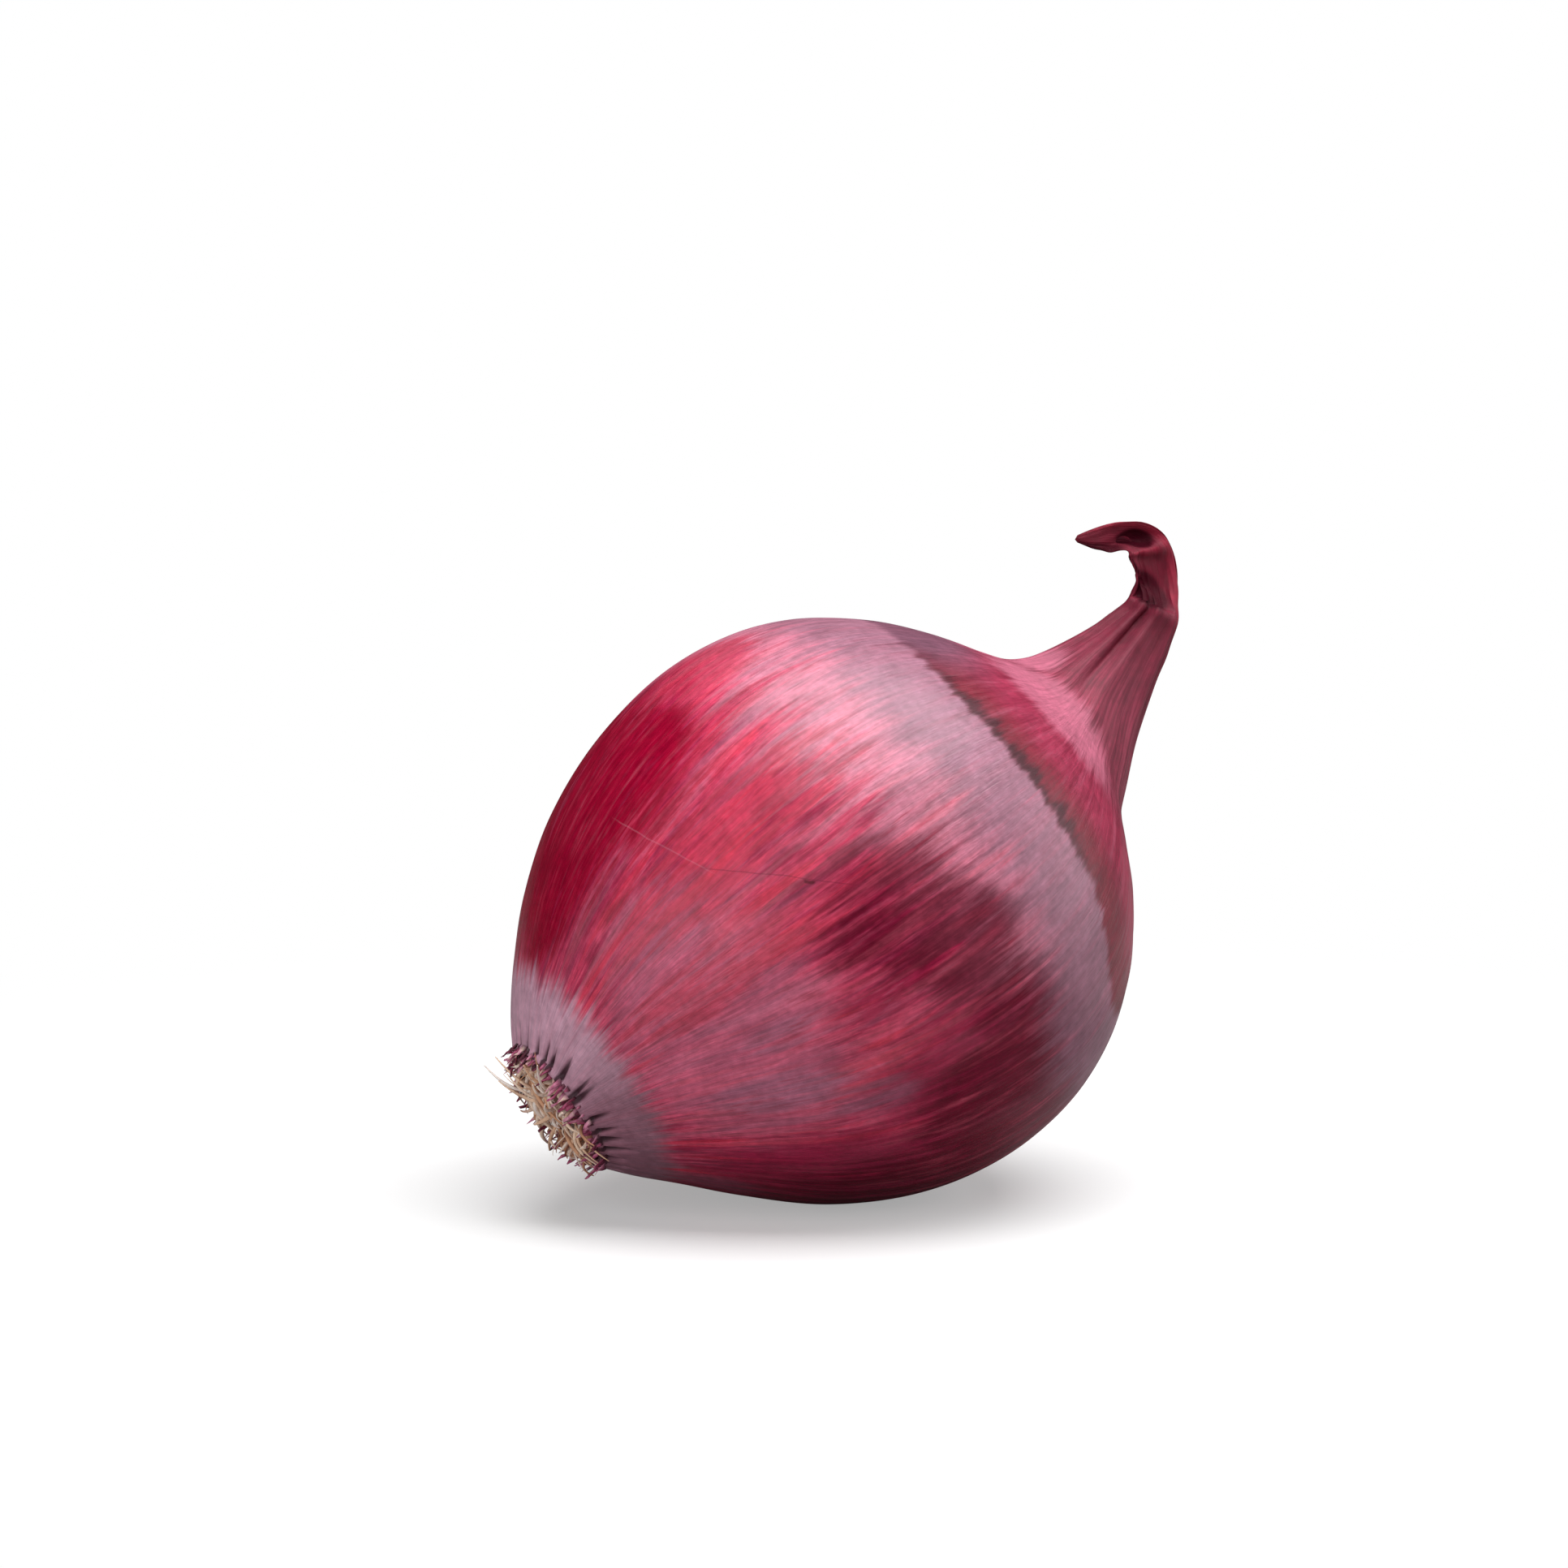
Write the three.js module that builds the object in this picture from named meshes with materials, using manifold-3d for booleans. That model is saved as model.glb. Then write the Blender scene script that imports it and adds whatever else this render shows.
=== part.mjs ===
// A whole red onion that lies on its side, in millimetres, with +Z up.
// It is built along its own axis, from the root end at -X to the dried neck at +X,
// and then tipped so that the neck points up. The origin is the middle of the small
// flat spot that it rests on.
import * as THREE from "three";
import { mergeVertices } from "three/addons/utils/BufferGeometryUtils.js";
import Module from "manifold-3d";

const wasm = await Module();
wasm.setup();

// How the onion lies
const AXIS_TILT = THREE.MathUtils.degToRad(31.3);
const FLAT_DEPTH = 0.7;

// The globe, from the root rim to the shoulder: along the axis, radius, and how far
// the middle of the section lies above the axis, because the belly hangs a little
const GLOBE = [
  [-41.4, 9.2, -0.1],
  [-38.6, 12.8, 0.3],
  [-34.4, 17.4, 0.6],
  [-28.4, 23.4, 0.4],
  [-20.4, 29.6, -0.4],
  [-10.5, 34.3, -1.1],
  [0.0, 36.5, -1.4],
  [9.5, 36.0, -1.6],
  [17.5, 33.3, -1.7],
  [24.5, 28.7, -1.8],
  [30.0, 23.0, -1.6],
  [34.0, 17.5, -1.2],
  [37.0, 13.4, -0.7],
];

// The neck and the papery tail that folds back over: along, lift, sideways, half of
// the width, half of the depth, turn in degrees, how far the near face is hollowed,
// and how deep the pleats are as a share of the radius
const NECK = [
  [40.4, 0.0, 0.0, 10.5, 10.5, 3, 0.0, 0.02],
  [44.4, 1.5, 0.1, 8.0, 7.9, 10, 0.0, 0.05],
  [49.8, 3.2, 0.0, 5.8, 5.6, 18, 0.0, 0.09],
  [54.2, 4.6, -0.2, 4.5, 4.2, 25, 0.0, 0.11],
  [57.6, 6.1, -0.3, 3.4, 3.2, 33, 0.0, 0.1],
  [60.2, 8.6, 0.3, 3.1, 1.9, 46, 1.6, 0.05],
  [61.1, 10.8, 0.8, 3.4, 1.5, 53, 1.8, 0.05],
  [61.7, 12.4, 1.1, 3.0, 1.4, 69, 1.0, 0.04],
  [61.6, 13.5, 1.4, 2.8, 1.5, 82, 2.0, 0.04],
  [60.5, 14.9, 1.7, 2.5, 1.4, 101, 2.1, 0.03],
  [59.0, 15.8, 2.1, 2.2, 1.3, 117, 1.9, 0.03],
  [57.7, 16.6, 2.4, 1.8, 1.1, 128, 1.3, 0.02],
  [56.3, 17.3, 2.8, 1.3, 0.8, 140, 0.5, 0.01],
  [54.6, 18.3, 3.2, 0.5, 0.4, 150, 0.0, 0.0],
];
const TAIL_TIP = [54.2, 18.5, 3.2];

// The grid of the skin
const SIDES = 56;
const GLOBE_STEPS = 3;
const NECK_STEPS = 2;

// The socket in the middle of the root end, which the root plate sits in
const RIM_CREST = { along: -42.0, radius: 8.6 };
const SOCKET_MOUTH = { along: -41.6, radius: 7.9 };
const SOCKET_FLOOR = { along: -39.4, radius: 7.7 };

// Cracks that run out from the root rim, one at every second side
const CRACK_DEPTH = 0.75;
const CRACKS_END = -37.6;
const CRACK_LEAN = 0.8;

// Torn ends of the dry scales round the root plate
const TORN = { count: 26, radius: 9.0, along: -41.7, width: 1.5, thick: 0.42 };
const TORN_LENGTH = [2.4, 4.2];
const TORN_LEAN = [0.25, 1.1];

// The corky root plate and the dried roots
const GAP = 0.3;
const PLATE_RADIUS = SOCKET_FLOOR.radius - GAP;
const PLATE_BACK = SOCKET_FLOOR.along - GAP;
const PLATE_EDGE = -40.9;
const PLATE_CROWN = -41.9;
const ROOT_COUNT = 52;
const ROOT_RADIUS = [0.52, 0.34];
const ROOT_RISE = [1.6, 3.0];
const ROOT_REACH = [1.6, 5.2];
const ROOT_DROOP = 0.55;
const ROOT_SIDES = 4;
const ROOT_STEPS = 4;

const SKIN_COLOUR = 0x8f2a4a;
const ROOT_COLOUR = 0xb89a74;

// A seeded draw from 0 to 1, the same on every run
function seeded(seed) {
  let state = seed;
  return () => {
    state = (state + 0x6d2b79f5) | 0;
    let t = Math.imul(state ^ (state >>> 15), 1 | state);
    t = (t + Math.imul(t ^ (t >>> 7), 61 | t)) ^ t;
    return ((t ^ (t >>> 14)) >>> 0) / 4294967296;
  };
}

function between(draw, [low, high]) {
  return low + (high - low) * draw();
}

// A smooth curve through rows of numbers, at position t counted in rows
function rowAt(rows, t) {
  const last = rows.length - 1;
  const i = Math.min(Math.floor(t), last - 1);
  const f = t - i;
  const before = rows[Math.max(i - 1, 0)];
  const after = rows[Math.min(i + 2, last)];
  return rows[i].map((a, k) => {
    const b = rows[i + 1][k];
    const leave = (b - before[k]) / 2;
    const arrive = (after[k] - a) / 2;
    const cubic = 2 * a - 2 * b + leave + arrive;
    const square = 3 * b - 3 * a - 2 * leave - arrive;
    return ((cubic * f + square) * f + leave) * f + a;
  });
}

// Rings of points joined into a closed surface, with a point at each end
function loft(start, rings, end) {
  const sides = rings[0].length;
  const points = [start, ...rings.flat(), end];
  const index = [];
  const at = (ring, side) => 1 + ring * sides + (side % sides);
  for (let side = 0; side < sides; side++) {
    index.push(0, at(0, side + 1), at(0, side));
    for (let ring = 0; ring + 1 < rings.length; ring++) {
      index.push(at(ring, side), at(ring, side + 1), at(ring + 1, side + 1));
      index.push(at(ring, side), at(ring + 1, side + 1), at(ring + 1, side));
    }
    const last = rings.length - 1;
    index.push(points.length - 1, at(last, side), at(last, side + 1));
  }
  return new THREE.BufferGeometry().setFromPoints(points).setIndex(index);
}

// Geometry as a solid that can be joined and cut, and a solid as geometry again
function solid(geometry) {
  const bare = geometry.clone();
  bare.deleteAttribute("normal");
  bare.deleteAttribute("uv");
  const merged = mergeVertices(bare, 1e-4);
  return new wasm.Manifold(
    new wasm.Mesh({
      numProp: 3,
      vertProperties: new Float32Array(merged.attributes.position.array),
      triVerts: new Uint32Array(merged.index.array),
    }),
  );
}

function geometryOf(made) {
  const mesh = made.getMesh();
  const positions = new THREE.BufferAttribute(mesh.vertProperties, mesh.numProp);
  return new THREE.BufferGeometry()
    .setAttribute("position", positions)
    .setIndex(new THREE.BufferAttribute(mesh.triVerts, 1))
    .toNonIndexed();
}

// One section of the skin, as a ring of points. The pleats ripple its radius, and a
// hollow pushes the face at -Y inwards, so that the section becomes a crescent.
function skinRing(row, cracks) {
  const [along, lift, side, width, depth, turn, hollow, pleat] = row;
  const lean = THREE.MathUtils.degToRad(turn);
  const nearRoot = THREE.MathUtils.smoothstep(-along, -CRACKS_END, -GLOBE[0][0]);
  return cracks.map((crack, k) => {
    const angle = (2 * Math.PI * k) / SIDES;
    const ripple = 0.6 * Math.cos(9 * angle + 0.6) + 0.4 * Math.cos(14 * angle + 2.1);
    const sunk = CRACK_DEPTH * crack * nearRoot;
    const swell = 1 + pleat * ripple;
    const across = (width * swell - sunk * (1 - CRACK_LEAN)) * Math.cos(angle);
    const near = Math.max(0, Math.sin(angle)) ** 1.5;
    const out = (depth * swell - sunk * (1 - CRACK_LEAN)) * Math.sin(angle) - hollow * near;
    return new THREE.Vector3(
      along + sunk * CRACK_LEAN - across * Math.sin(lean),
      side - out,
      lift + across * Math.cos(lean),
    );
  });
}

function plainRing({ along, radius }, lift) {
  return Array.from({ length: SIDES }, (_, k) => {
    const angle = (2 * Math.PI * k) / SIDES;
    return new THREE.Vector3(along, -radius * Math.sin(angle), lift + radius * Math.cos(angle));
  });
}

function skin() {
  const draw = seeded(11);
  const cracks = Array.from({ length: SIDES }, (_, k) => (k % 2 ? 0.35 + 0.65 * draw() : 0));
  const globe = GLOBE.map(([along, radius, lift]) => [along, lift, 0, radius, radius, 0, 0, 0]);
  const rows = [...globe, ...NECK];
  const rootLift = GLOBE[0][2];
  const rings = [
    plainRing(SOCKET_FLOOR, rootLift),
    plainRing(SOCKET_MOUTH, rootLift),
    plainRing(RIM_CREST, rootLift),
  ];
  for (let row = 0; row + 1 < rows.length; row++) {
    const steps = row < GLOBE.length ? GLOBE_STEPS : NECK_STEPS;
    for (let step = 0; step < steps; step++) {
      rings.push(skinRing(rowAt(rows, row + step / steps), cracks));
    }
  }
  rings.push(skinRing(rows.at(-1), cracks));
  const floor = new THREE.Vector3(SOCKET_FLOOR.along, 0, rootLift);
  const [along, lift, side] = TAIL_TIP;
  return loft(floor, rings, new THREE.Vector3(along, side, lift));
}

// Short flat points of dry scale that stand round the root rim and lean outwards
function tornScales() {
  const draw = seeded(23);
  return Array.from({ length: TORN.count }, (_, k) => {
    const angle = (2 * Math.PI * (k + 0.6 * draw())) / TORN.count;
    const length = between(draw, TORN_LENGTH);
    const lean = between(draw, TORN_LEAN);
    const scale = new THREE.ConeGeometry(TORN.width * (0.7 + 0.5 * draw()), length, 4);
    scale.scale(1, 1, TORN.thick);
    scale.translate(0, length / 2 - 1.2, 0);
    scale.rotateX(lean);
    scale.translate(0, 0, TORN.radius);
    scale.rotateY(angle);
    scale.rotateZ(Math.PI / 2);
    scale.translate(TORN.along, 0, GLOBE[0][2]);
    return solid(scale);
  });
}

// The box that planes off the flat spot, in the frame of the onion's own axis
function floorBlock(restHeight) {
  const size = 120;
  const block = new THREE.BoxGeometry(size, size, size);
  block.translate(0, 0, -restHeight - size / 2);
  block.rotateY(AXIS_TILT);
  return solid(block);
}

function restHeightOf(geometry) {
  const tipped = geometry.clone().rotateY(-AXIS_TILT);
  tipped.computeBoundingBox();
  return -tipped.boundingBox.min.z - FLAT_DEPTH;
}

// One dried root: it rises from the plate, then bends away and hangs
function root(base, outward, draw) {
  const rise = between(draw, ROOT_RISE);
  const reach = between(draw, ROOT_REACH);
  const sway = new THREE.Vector3(0, draw() - 0.5, draw() - 0.5 - ROOT_DROOP);
  const away = outward.clone().add(sway).normalize();
  const up = new THREE.Vector3(-1, 0, 0);
  const elbow = base.clone().addScaledVector(up, rise).addScaledVector(away, 0.25 * reach);
  const path = new THREE.CatmullRomCurve3([
    base.clone().addScaledVector(up, -0.6),
    base.clone().addScaledVector(up, 0.55 * rise),
    elbow,
    elbow.clone().addScaledVector(away, 0.75 * reach).addScaledVector(up, draw() - 0.2),
  ]);
  const { normals, binormals } = path.computeFrenetFrames(ROOT_STEPS);
  const rings = normals.map((normal, step) => {
    const middle = path.getPointAt(step / ROOT_STEPS);
    const radius = THREE.MathUtils.lerp(...ROOT_RADIUS, step / ROOT_STEPS);
    return Array.from({ length: ROOT_SIDES }, (_, k) => {
      const angle = (2 * Math.PI * k) / ROOT_SIDES;
      return middle
        .clone()
        .addScaledVector(normal, radius * Math.cos(angle))
        .addScaledVector(binormals[step], radius * Math.sin(angle));
    });
  });
  return solid(loft(path.getPoint(0), rings, path.getPoint(1)));
}

// The plate with its roots, set out in the spiral that seeds make on a flower head
function rootTuft() {
  const draw = seeded(5);
  const lift = GLOBE[0][2];
  const plate = new THREE.LatheGeometry(
    [
      new THREE.Vector2(0, PLATE_BACK),
      new THREE.Vector2(PLATE_RADIUS, PLATE_BACK),
      new THREE.Vector2(PLATE_RADIUS, PLATE_EDGE),
      new THREE.Vector2(0.6 * PLATE_RADIUS, 0.4 * PLATE_EDGE + 0.6 * PLATE_CROWN),
      new THREE.Vector2(0, PLATE_CROWN),
    ].reverse(),
    32,
  );
  plate.rotateZ(-Math.PI / 2).translate(0, 0, lift);
  const turnOfSpiral = Math.PI * (3 - Math.sqrt(5));
  const roots = Array.from({ length: ROOT_COUNT }, (_, k) => {
    const distance = (PLATE_RADIUS - 0.9) * Math.sqrt((k + 0.5) / ROOT_COUNT);
    const angle = k * turnOfSpiral;
    const outward = new THREE.Vector3(0, Math.sin(angle), Math.cos(angle));
    const base = outward.clone().multiplyScalar(distance);
    base.add(new THREE.Vector3(PLATE_EDGE, 0, lift));
    return root(base, outward.multiplyScalar(distance / PLATE_RADIUS), draw);
  });
  return wasm.Manifold.union([solid(plate), ...roots]);
}

const skinGeometry = skin();
const restHeight = restHeightOf(skinGeometry);
const bulbSolid = wasm.Manifold.union([solid(skinGeometry), ...tornScales()]).subtract(
  floorBlock(restHeight),
);

const bulb = new THREE.Mesh(
  geometryOf(bulbSolid),
  new THREE.MeshStandardMaterial({ color: SKIN_COLOUR, roughness: 0.38, metalness: 0 }),
);
bulb.name = "bulb";

const tuft = new THREE.Mesh(
  geometryOf(rootTuft()),
  new THREE.MeshStandardMaterial({ color: ROOT_COLOUR, roughness: 0.9, metalness: 0 }),
);
tuft.name = "root_tuft";

// The onion as it lies: tipped about the Y axis and raised onto its flat spot
const onion = new THREE.Group();
onion.name = "onion";
onion.add(bulb, tuft);
onion.rotation.y = -AXIS_TILT;
onion.position.z = restHeight;

const part = new THREE.Group();
part.add(onion);

export default part;
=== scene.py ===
# %% [markdown]
# # A red onion, lying on its side
#
# An onion is a bulb of thick leaf bases wrapped in dry, glossy skin. The skin is one
# closed sheet from the root end to the neck, where it gathers into pleats, dries out
# and folds over as a papery tail. At the other end it is torn round a corky plate
# that carries a tuft of dried roots.
#
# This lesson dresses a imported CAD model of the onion. The CAD model has the true
# sizes and places, so every piece here is made in the same frame, in metres, and
# stands in for one CAD node.

# %% Load the frame
import math

import bpy
import numpy as np
from mathutils import Matrix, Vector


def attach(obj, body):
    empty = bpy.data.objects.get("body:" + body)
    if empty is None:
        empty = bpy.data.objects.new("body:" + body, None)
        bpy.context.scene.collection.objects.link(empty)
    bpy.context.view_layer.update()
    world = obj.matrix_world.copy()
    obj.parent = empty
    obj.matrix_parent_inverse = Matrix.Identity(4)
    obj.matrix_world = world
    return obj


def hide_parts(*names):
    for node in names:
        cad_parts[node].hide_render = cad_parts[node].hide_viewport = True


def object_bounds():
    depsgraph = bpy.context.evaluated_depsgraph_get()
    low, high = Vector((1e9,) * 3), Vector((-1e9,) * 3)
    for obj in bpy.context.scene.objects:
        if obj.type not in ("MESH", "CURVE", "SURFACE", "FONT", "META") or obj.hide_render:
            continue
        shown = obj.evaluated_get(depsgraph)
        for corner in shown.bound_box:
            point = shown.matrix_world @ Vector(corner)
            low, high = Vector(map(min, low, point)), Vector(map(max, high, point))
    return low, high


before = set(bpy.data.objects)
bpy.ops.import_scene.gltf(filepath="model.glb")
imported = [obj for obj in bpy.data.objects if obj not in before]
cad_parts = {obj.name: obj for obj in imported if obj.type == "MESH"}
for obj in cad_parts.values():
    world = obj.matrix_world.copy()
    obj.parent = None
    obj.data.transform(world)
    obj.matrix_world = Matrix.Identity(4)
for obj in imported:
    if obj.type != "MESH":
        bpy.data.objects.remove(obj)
cad_low, cad_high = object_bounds()
print("CAD box in mm:", [round(1000 * v, 1) for v in (*cad_low, *cad_high)])

# %% [markdown]
# ## Where the onion lies
#
# The onion is easiest to describe along its own axis, from the roots to the neck.
# It lies tipped, so one small function turns a place on that axis into the frame:
# `along` runs from root to neck, `lift` is across and upwards, and `side` is
# across and away from the viewer. All three are in millimetres.

# %% The onion's own axis
MM = 0.001
AXIS_TILT = math.radians(31.3)
REST_HEIGHT = 35.633


def placed(along, lift, side):
    """Places on the onion's axis, in mm, as points of the frame, in metres."""
    x = along * math.cos(AXIS_TILT) - lift * math.sin(AXIS_TILT)
    z = along * math.sin(AXIS_TILT) + lift * math.cos(AXIS_TILT) + REST_HEIGHT
    return np.stack(np.broadcast_arrays(x, side, z), -1) * MM


GLOBE_MIDDLE = placed(0.0, 0.0, 0.0)
print("middle of the globe:", GLOBE_MIDDLE.round(4))

# %% [markdown]
# ## The camera
#
# The photograph was taken from a little above, with the onion's axis turned away to
# the right. A long lens keeps the outline as flat as it looks there. The camera is
# not aimed at the globe: it is moved sideways until the globe's middle falls on its
# own pixel of the photograph, so the lens needs no shift.

# %% Camera
PHOTO_PIXELS = 1932
GLOBE_PIXEL = (1013.0, 1121.0)
PIXELS_PER_MM = 10.0
CAMERA_AZIMUTH = math.radians(-25.5)
CAMERA_ELEVATION = math.radians(8.0)
LENS_MM = 135.0
SENSOR_MM = 36.0

camera_right = np.array([math.cos(CAMERA_AZIMUTH), math.sin(CAMERA_AZIMUTH), 0.0])
camera_back = np.array([
    math.sin(CAMERA_AZIMUTH) * math.cos(CAMERA_ELEVATION),
    -math.cos(CAMERA_AZIMUTH) * math.cos(CAMERA_ELEVATION),
    math.sin(CAMERA_ELEVATION),
])
camera_up = np.cross(camera_back, camera_right)


def turned_to(right, up, back, place):
    """A matrix whose axes are right, up and back, standing at place."""
    matrix = np.identity(4)
    matrix[:3, :3] = np.stack([right, up, back], 1)
    matrix[:3, 3] = place
    return Matrix(matrix.tolist())


def add_camera():
    distance = PHOTO_PIXELS / PIXELS_PER_MM * LENS_MM / SENSOR_MM * MM
    metres_per_pixel = MM / PIXELS_PER_MM
    to_right = (GLOBE_PIXEL[0] - PHOTO_PIXELS / 2) * metres_per_pixel
    to_bottom = (GLOBE_PIXEL[1] - PHOTO_PIXELS / 2) * metres_per_pixel
    place = GLOBE_MIDDLE + camera_back * distance - camera_right * to_right + camera_up * to_bottom
    data = bpy.data.cameras.new("camera")
    data.lens = LENS_MM
    data.sensor_width = SENSOR_MM
    camera = bpy.data.objects.new("camera", data)
    bpy.context.scene.collection.objects.link(camera)
    camera.matrix_world = turned_to(camera_right, camera_up, camera_back, place)
    bpy.context.scene.camera = camera
    print("camera stands", round(distance, 3), "m from the globe")


add_camera()

# %% [markdown]
# ## The shape of the skin
#
# The globe, the neck and the tail are one skin, so one smooth tube makes them all.
# The tube is a row of sections along a bent spine. On the globe a section is a
# circle. On the neck it is pleated. On the tail it is a crescent, because a dried
# leaf curls its edges towards one face. A curve through the rows gives every
# section in between, which keeps the list of sizes short and easy to change.

# %% Sections of the onion
# along, radius, lift of the section's middle
GLOBE = [
    (-41.4, 9.2, -0.1),
    (-38.6, 12.8, 0.3),
    (-34.4, 17.4, 0.6),
    (-28.4, 23.4, 0.4),
    (-20.4, 29.6, -0.4),
    (-10.5, 34.3, -1.1),
    (0.0, 36.5, -1.4),
    (9.5, 36.0, -1.6),
    (17.5, 33.3, -1.7),
    (24.5, 28.7, -1.8),
    (30.0, 23.0, -1.6),
    (34.0, 17.5, -1.2),
    (37.0, 13.4, -0.7),
]
# along, lift, side, half width, half depth, turn in degrees, hollow, pleat
NECK = [
    (40.4, 0.0, 0.0, 10.5, 10.5, 3, 0.0, 0.02),
    (44.4, 1.5, 0.1, 8.0, 7.9, 10, 0.0, 0.05),
    (49.8, 3.2, 0.0, 5.8, 5.6, 18, 0.0, 0.09),
    (54.2, 4.6, -0.2, 4.5, 4.2, 25, 0.0, 0.11),
    (57.6, 6.1, -0.3, 3.4, 3.2, 33, 0.0, 0.1),
    (60.2, 8.6, 0.3, 3.1, 1.9, 46, 1.6, 0.05),
    (61.1, 10.8, 0.8, 3.4, 1.5, 53, 1.8, 0.05),
    (61.7, 12.4, 1.1, 3.0, 1.4, 69, 1.0, 0.04),
    (61.6, 13.5, 1.4, 2.8, 1.5, 82, 2.0, 0.04),
    (60.5, 14.9, 1.7, 2.5, 1.4, 101, 2.1, 0.03),
    (59.0, 15.8, 2.1, 2.2, 1.3, 117, 1.9, 0.03),
    (57.7, 16.6, 2.4, 1.8, 1.1, 128, 1.3, 0.02),
    (56.3, 17.3, 2.8, 1.3, 0.8, 140, 0.5, 0.01),
    (54.6, 18.3, 3.2, 0.5, 0.4, 150, 0.0, 0.0),
]
TAIL_TIP = (54.2, 18.5, 3.2)
# the rim round the root end and the socket inside it, from the floor outwards
ROOT_RIM = [(-39.4, 7.7), (-41.6, 7.9), (-42.0, 8.6), (-41.4, 9.2)]

# the neck's ripple is two waves: share of its depth, waves in a turn, shift
PLEAT_WAVES = [(0.6, 9, 0.6), (0.4, 14, 2.1)]

ROWS = np.array([(a, lift, 0, r, r, 0, 0, 0) for a, r, lift in GLOBE] + NECK, float)

# %% [markdown]
# The curve through the rows is a Catmull-Rom spline. It passes through every row, and
# its direction at a row is that of a line between the two rows beside it. Each section
# is then laid out round the spine, turned and hollowed as its row says.

# %% From rows to sections
def rows_at(t):
    """The section rows at places t, counted in rows, on a smooth curve through them."""
    last = len(ROWS) - 1
    i = np.clip(np.floor(t).astype(int), 0, last - 1)
    f = (t - i)[:, None]
    here, there = ROWS[i], ROWS[i + 1]
    leave = (there - ROWS[np.maximum(i - 1, 0)]) / 2
    arrive = (ROWS[np.minimum(i + 2, last)] - here) / 2
    cubic = 2 * here - 2 * there + leave + arrive
    square = 3 * there - 3 * here - 2 * leave - arrive
    return ((cubic * f + square) * f + leave) * f + here


def section_points(rows, angles):
    """Rings of points for the rows. Angle 0 is the top and 90 degrees the near side."""
    along, lift, side, width, depth, turn, hollow, pleat = rows.T[:, :, None]
    lean = np.radians(turn)
    ripple = sum(share * np.cos(waves * angles + shift) for share, waves, shift in PLEAT_WAVES)
    swell = 1 + pleat * ripple
    across = width * swell * np.cos(angles)
    near = np.maximum(0, np.sin(angles)) ** 1.5
    out = depth * swell * np.sin(angles) - hollow * near
    return placed(along - across * np.sin(lean), lift + across * np.cos(lean), side - out)


SKIN_SIDES = 264
SKIN_RINGS = 340
MEASURE_STEPS = 4000
angles = np.linspace(0, 2 * np.pi, SKIN_SIDES, endpoint=False)

# rings a constant step apart, measured down the near side of the onion
fine_t = np.linspace(0, len(ROWS) - 1, MEASURE_STEPS)
near_line = section_points(rows_at(fine_t), np.array([np.pi / 2]))[:, 0]
steps = np.linalg.norm(np.diff(near_line, axis=0), axis=1) / MM
fine_arc = np.concatenate([[0], np.cumsum(steps)])
arc = np.linspace(0, fine_arc[-1], SKIN_RINGS)
ring_rows = rows_at(np.interp(arc, fine_arc, fine_t))
print("skin from root rim to tail tip:", round(float(arc[-1]), 1), "mm")

# %% [markdown]
# ## Ribs, pleats and cracks
#
# Up close the skin isn't smooth. Faint ribs run from root to neck, the neck is drawn
# into sharp pleats, and short cracks run out from the root rim where the dry skin
# has split. Each kind is a set of lines round the onion, so one helper measures how
# far every side is from a line, and a random draw with a fixed seed spreads the
# lines. Heights, depths and lengths are in millimetres, and widths in degrees.

# %% Lines from root to neck
TURN = 2 * np.pi
RIB_COUNT = 46
RIB_WIDTHS = (1.6, 3.4)
RIB_HEIGHTS = (0.02, 0.11)
PLEAT_COUNT = 17
PLEAT_WIDTHS = (3.0, 8.0)
PLEAT_STARTS = (92, 110)
PLEAT_DEEPENS = 20
PLEAT_DEPTH = 0.6
CRACK_COUNT = 30
CRACK_LENGTHS = (2.2, 6.0)
CRACK_WIDTHS = (2.0, 3.4)
CRACK_DEPTH = 0.9


def smooth(low, high, value):
    """0 below low, 1 above high, and a smooth step between them."""
    x = np.clip((value - low) / (high - low), 0, 1)
    return x * x * (3 - 2 * x)


def apart(angle):
    """How far each side of the skin is from an angle, the short way round."""
    return np.abs((angles - angle + np.pi) % TURN - np.pi)


def spread(count, jitter, draw):
    """count angles round the onion, evenly spaced but for a random jitter."""
    return (np.arange(count) + jitter * draw.random(count)) * TURN / count


def ribs(draw):
    lines = np.zeros(SKIN_SIDES)
    for angle in spread(RIB_COUNT, 0.9, draw):
        width = math.radians(draw.uniform(*RIB_WIDTHS))
        lines += draw.uniform(*RIB_HEIGHTS) * np.exp(-((apart(angle) / width) ** 2))
    fade = smooth(6, 22, arc) * (1 - 0.6 * smooth(80, 95, arc))
    return lines * fade[:, None]


def pleats(draw):
    depth = np.zeros((SKIN_RINGS, SKIN_SIDES))
    eases = 1 - 0.8 * smooth(120, 124, arc)
    for angle in spread(PLEAT_COUNT, 1.6, draw):
        width = math.radians(draw.uniform(*PLEAT_WIDTHS))
        starts = draw.uniform(*PLEAT_STARTS)
        deepest = PLEAT_DEPTH * draw.uniform(0.15, 1.0)
        along_it = deepest * smooth(starts, starts + PLEAT_DEEPENS, arc) * eases
        depth += along_it[:, None] * np.exp(-apart(angle) / width)
    return depth

# %% [markdown]
# Cracks start at the root rim, where the skin is driest, and narrow to nothing. The
# globe gets a few broad waves too. Nobody would name them on a real onion, but without
# them the globe looks turned on a lathe.

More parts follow.
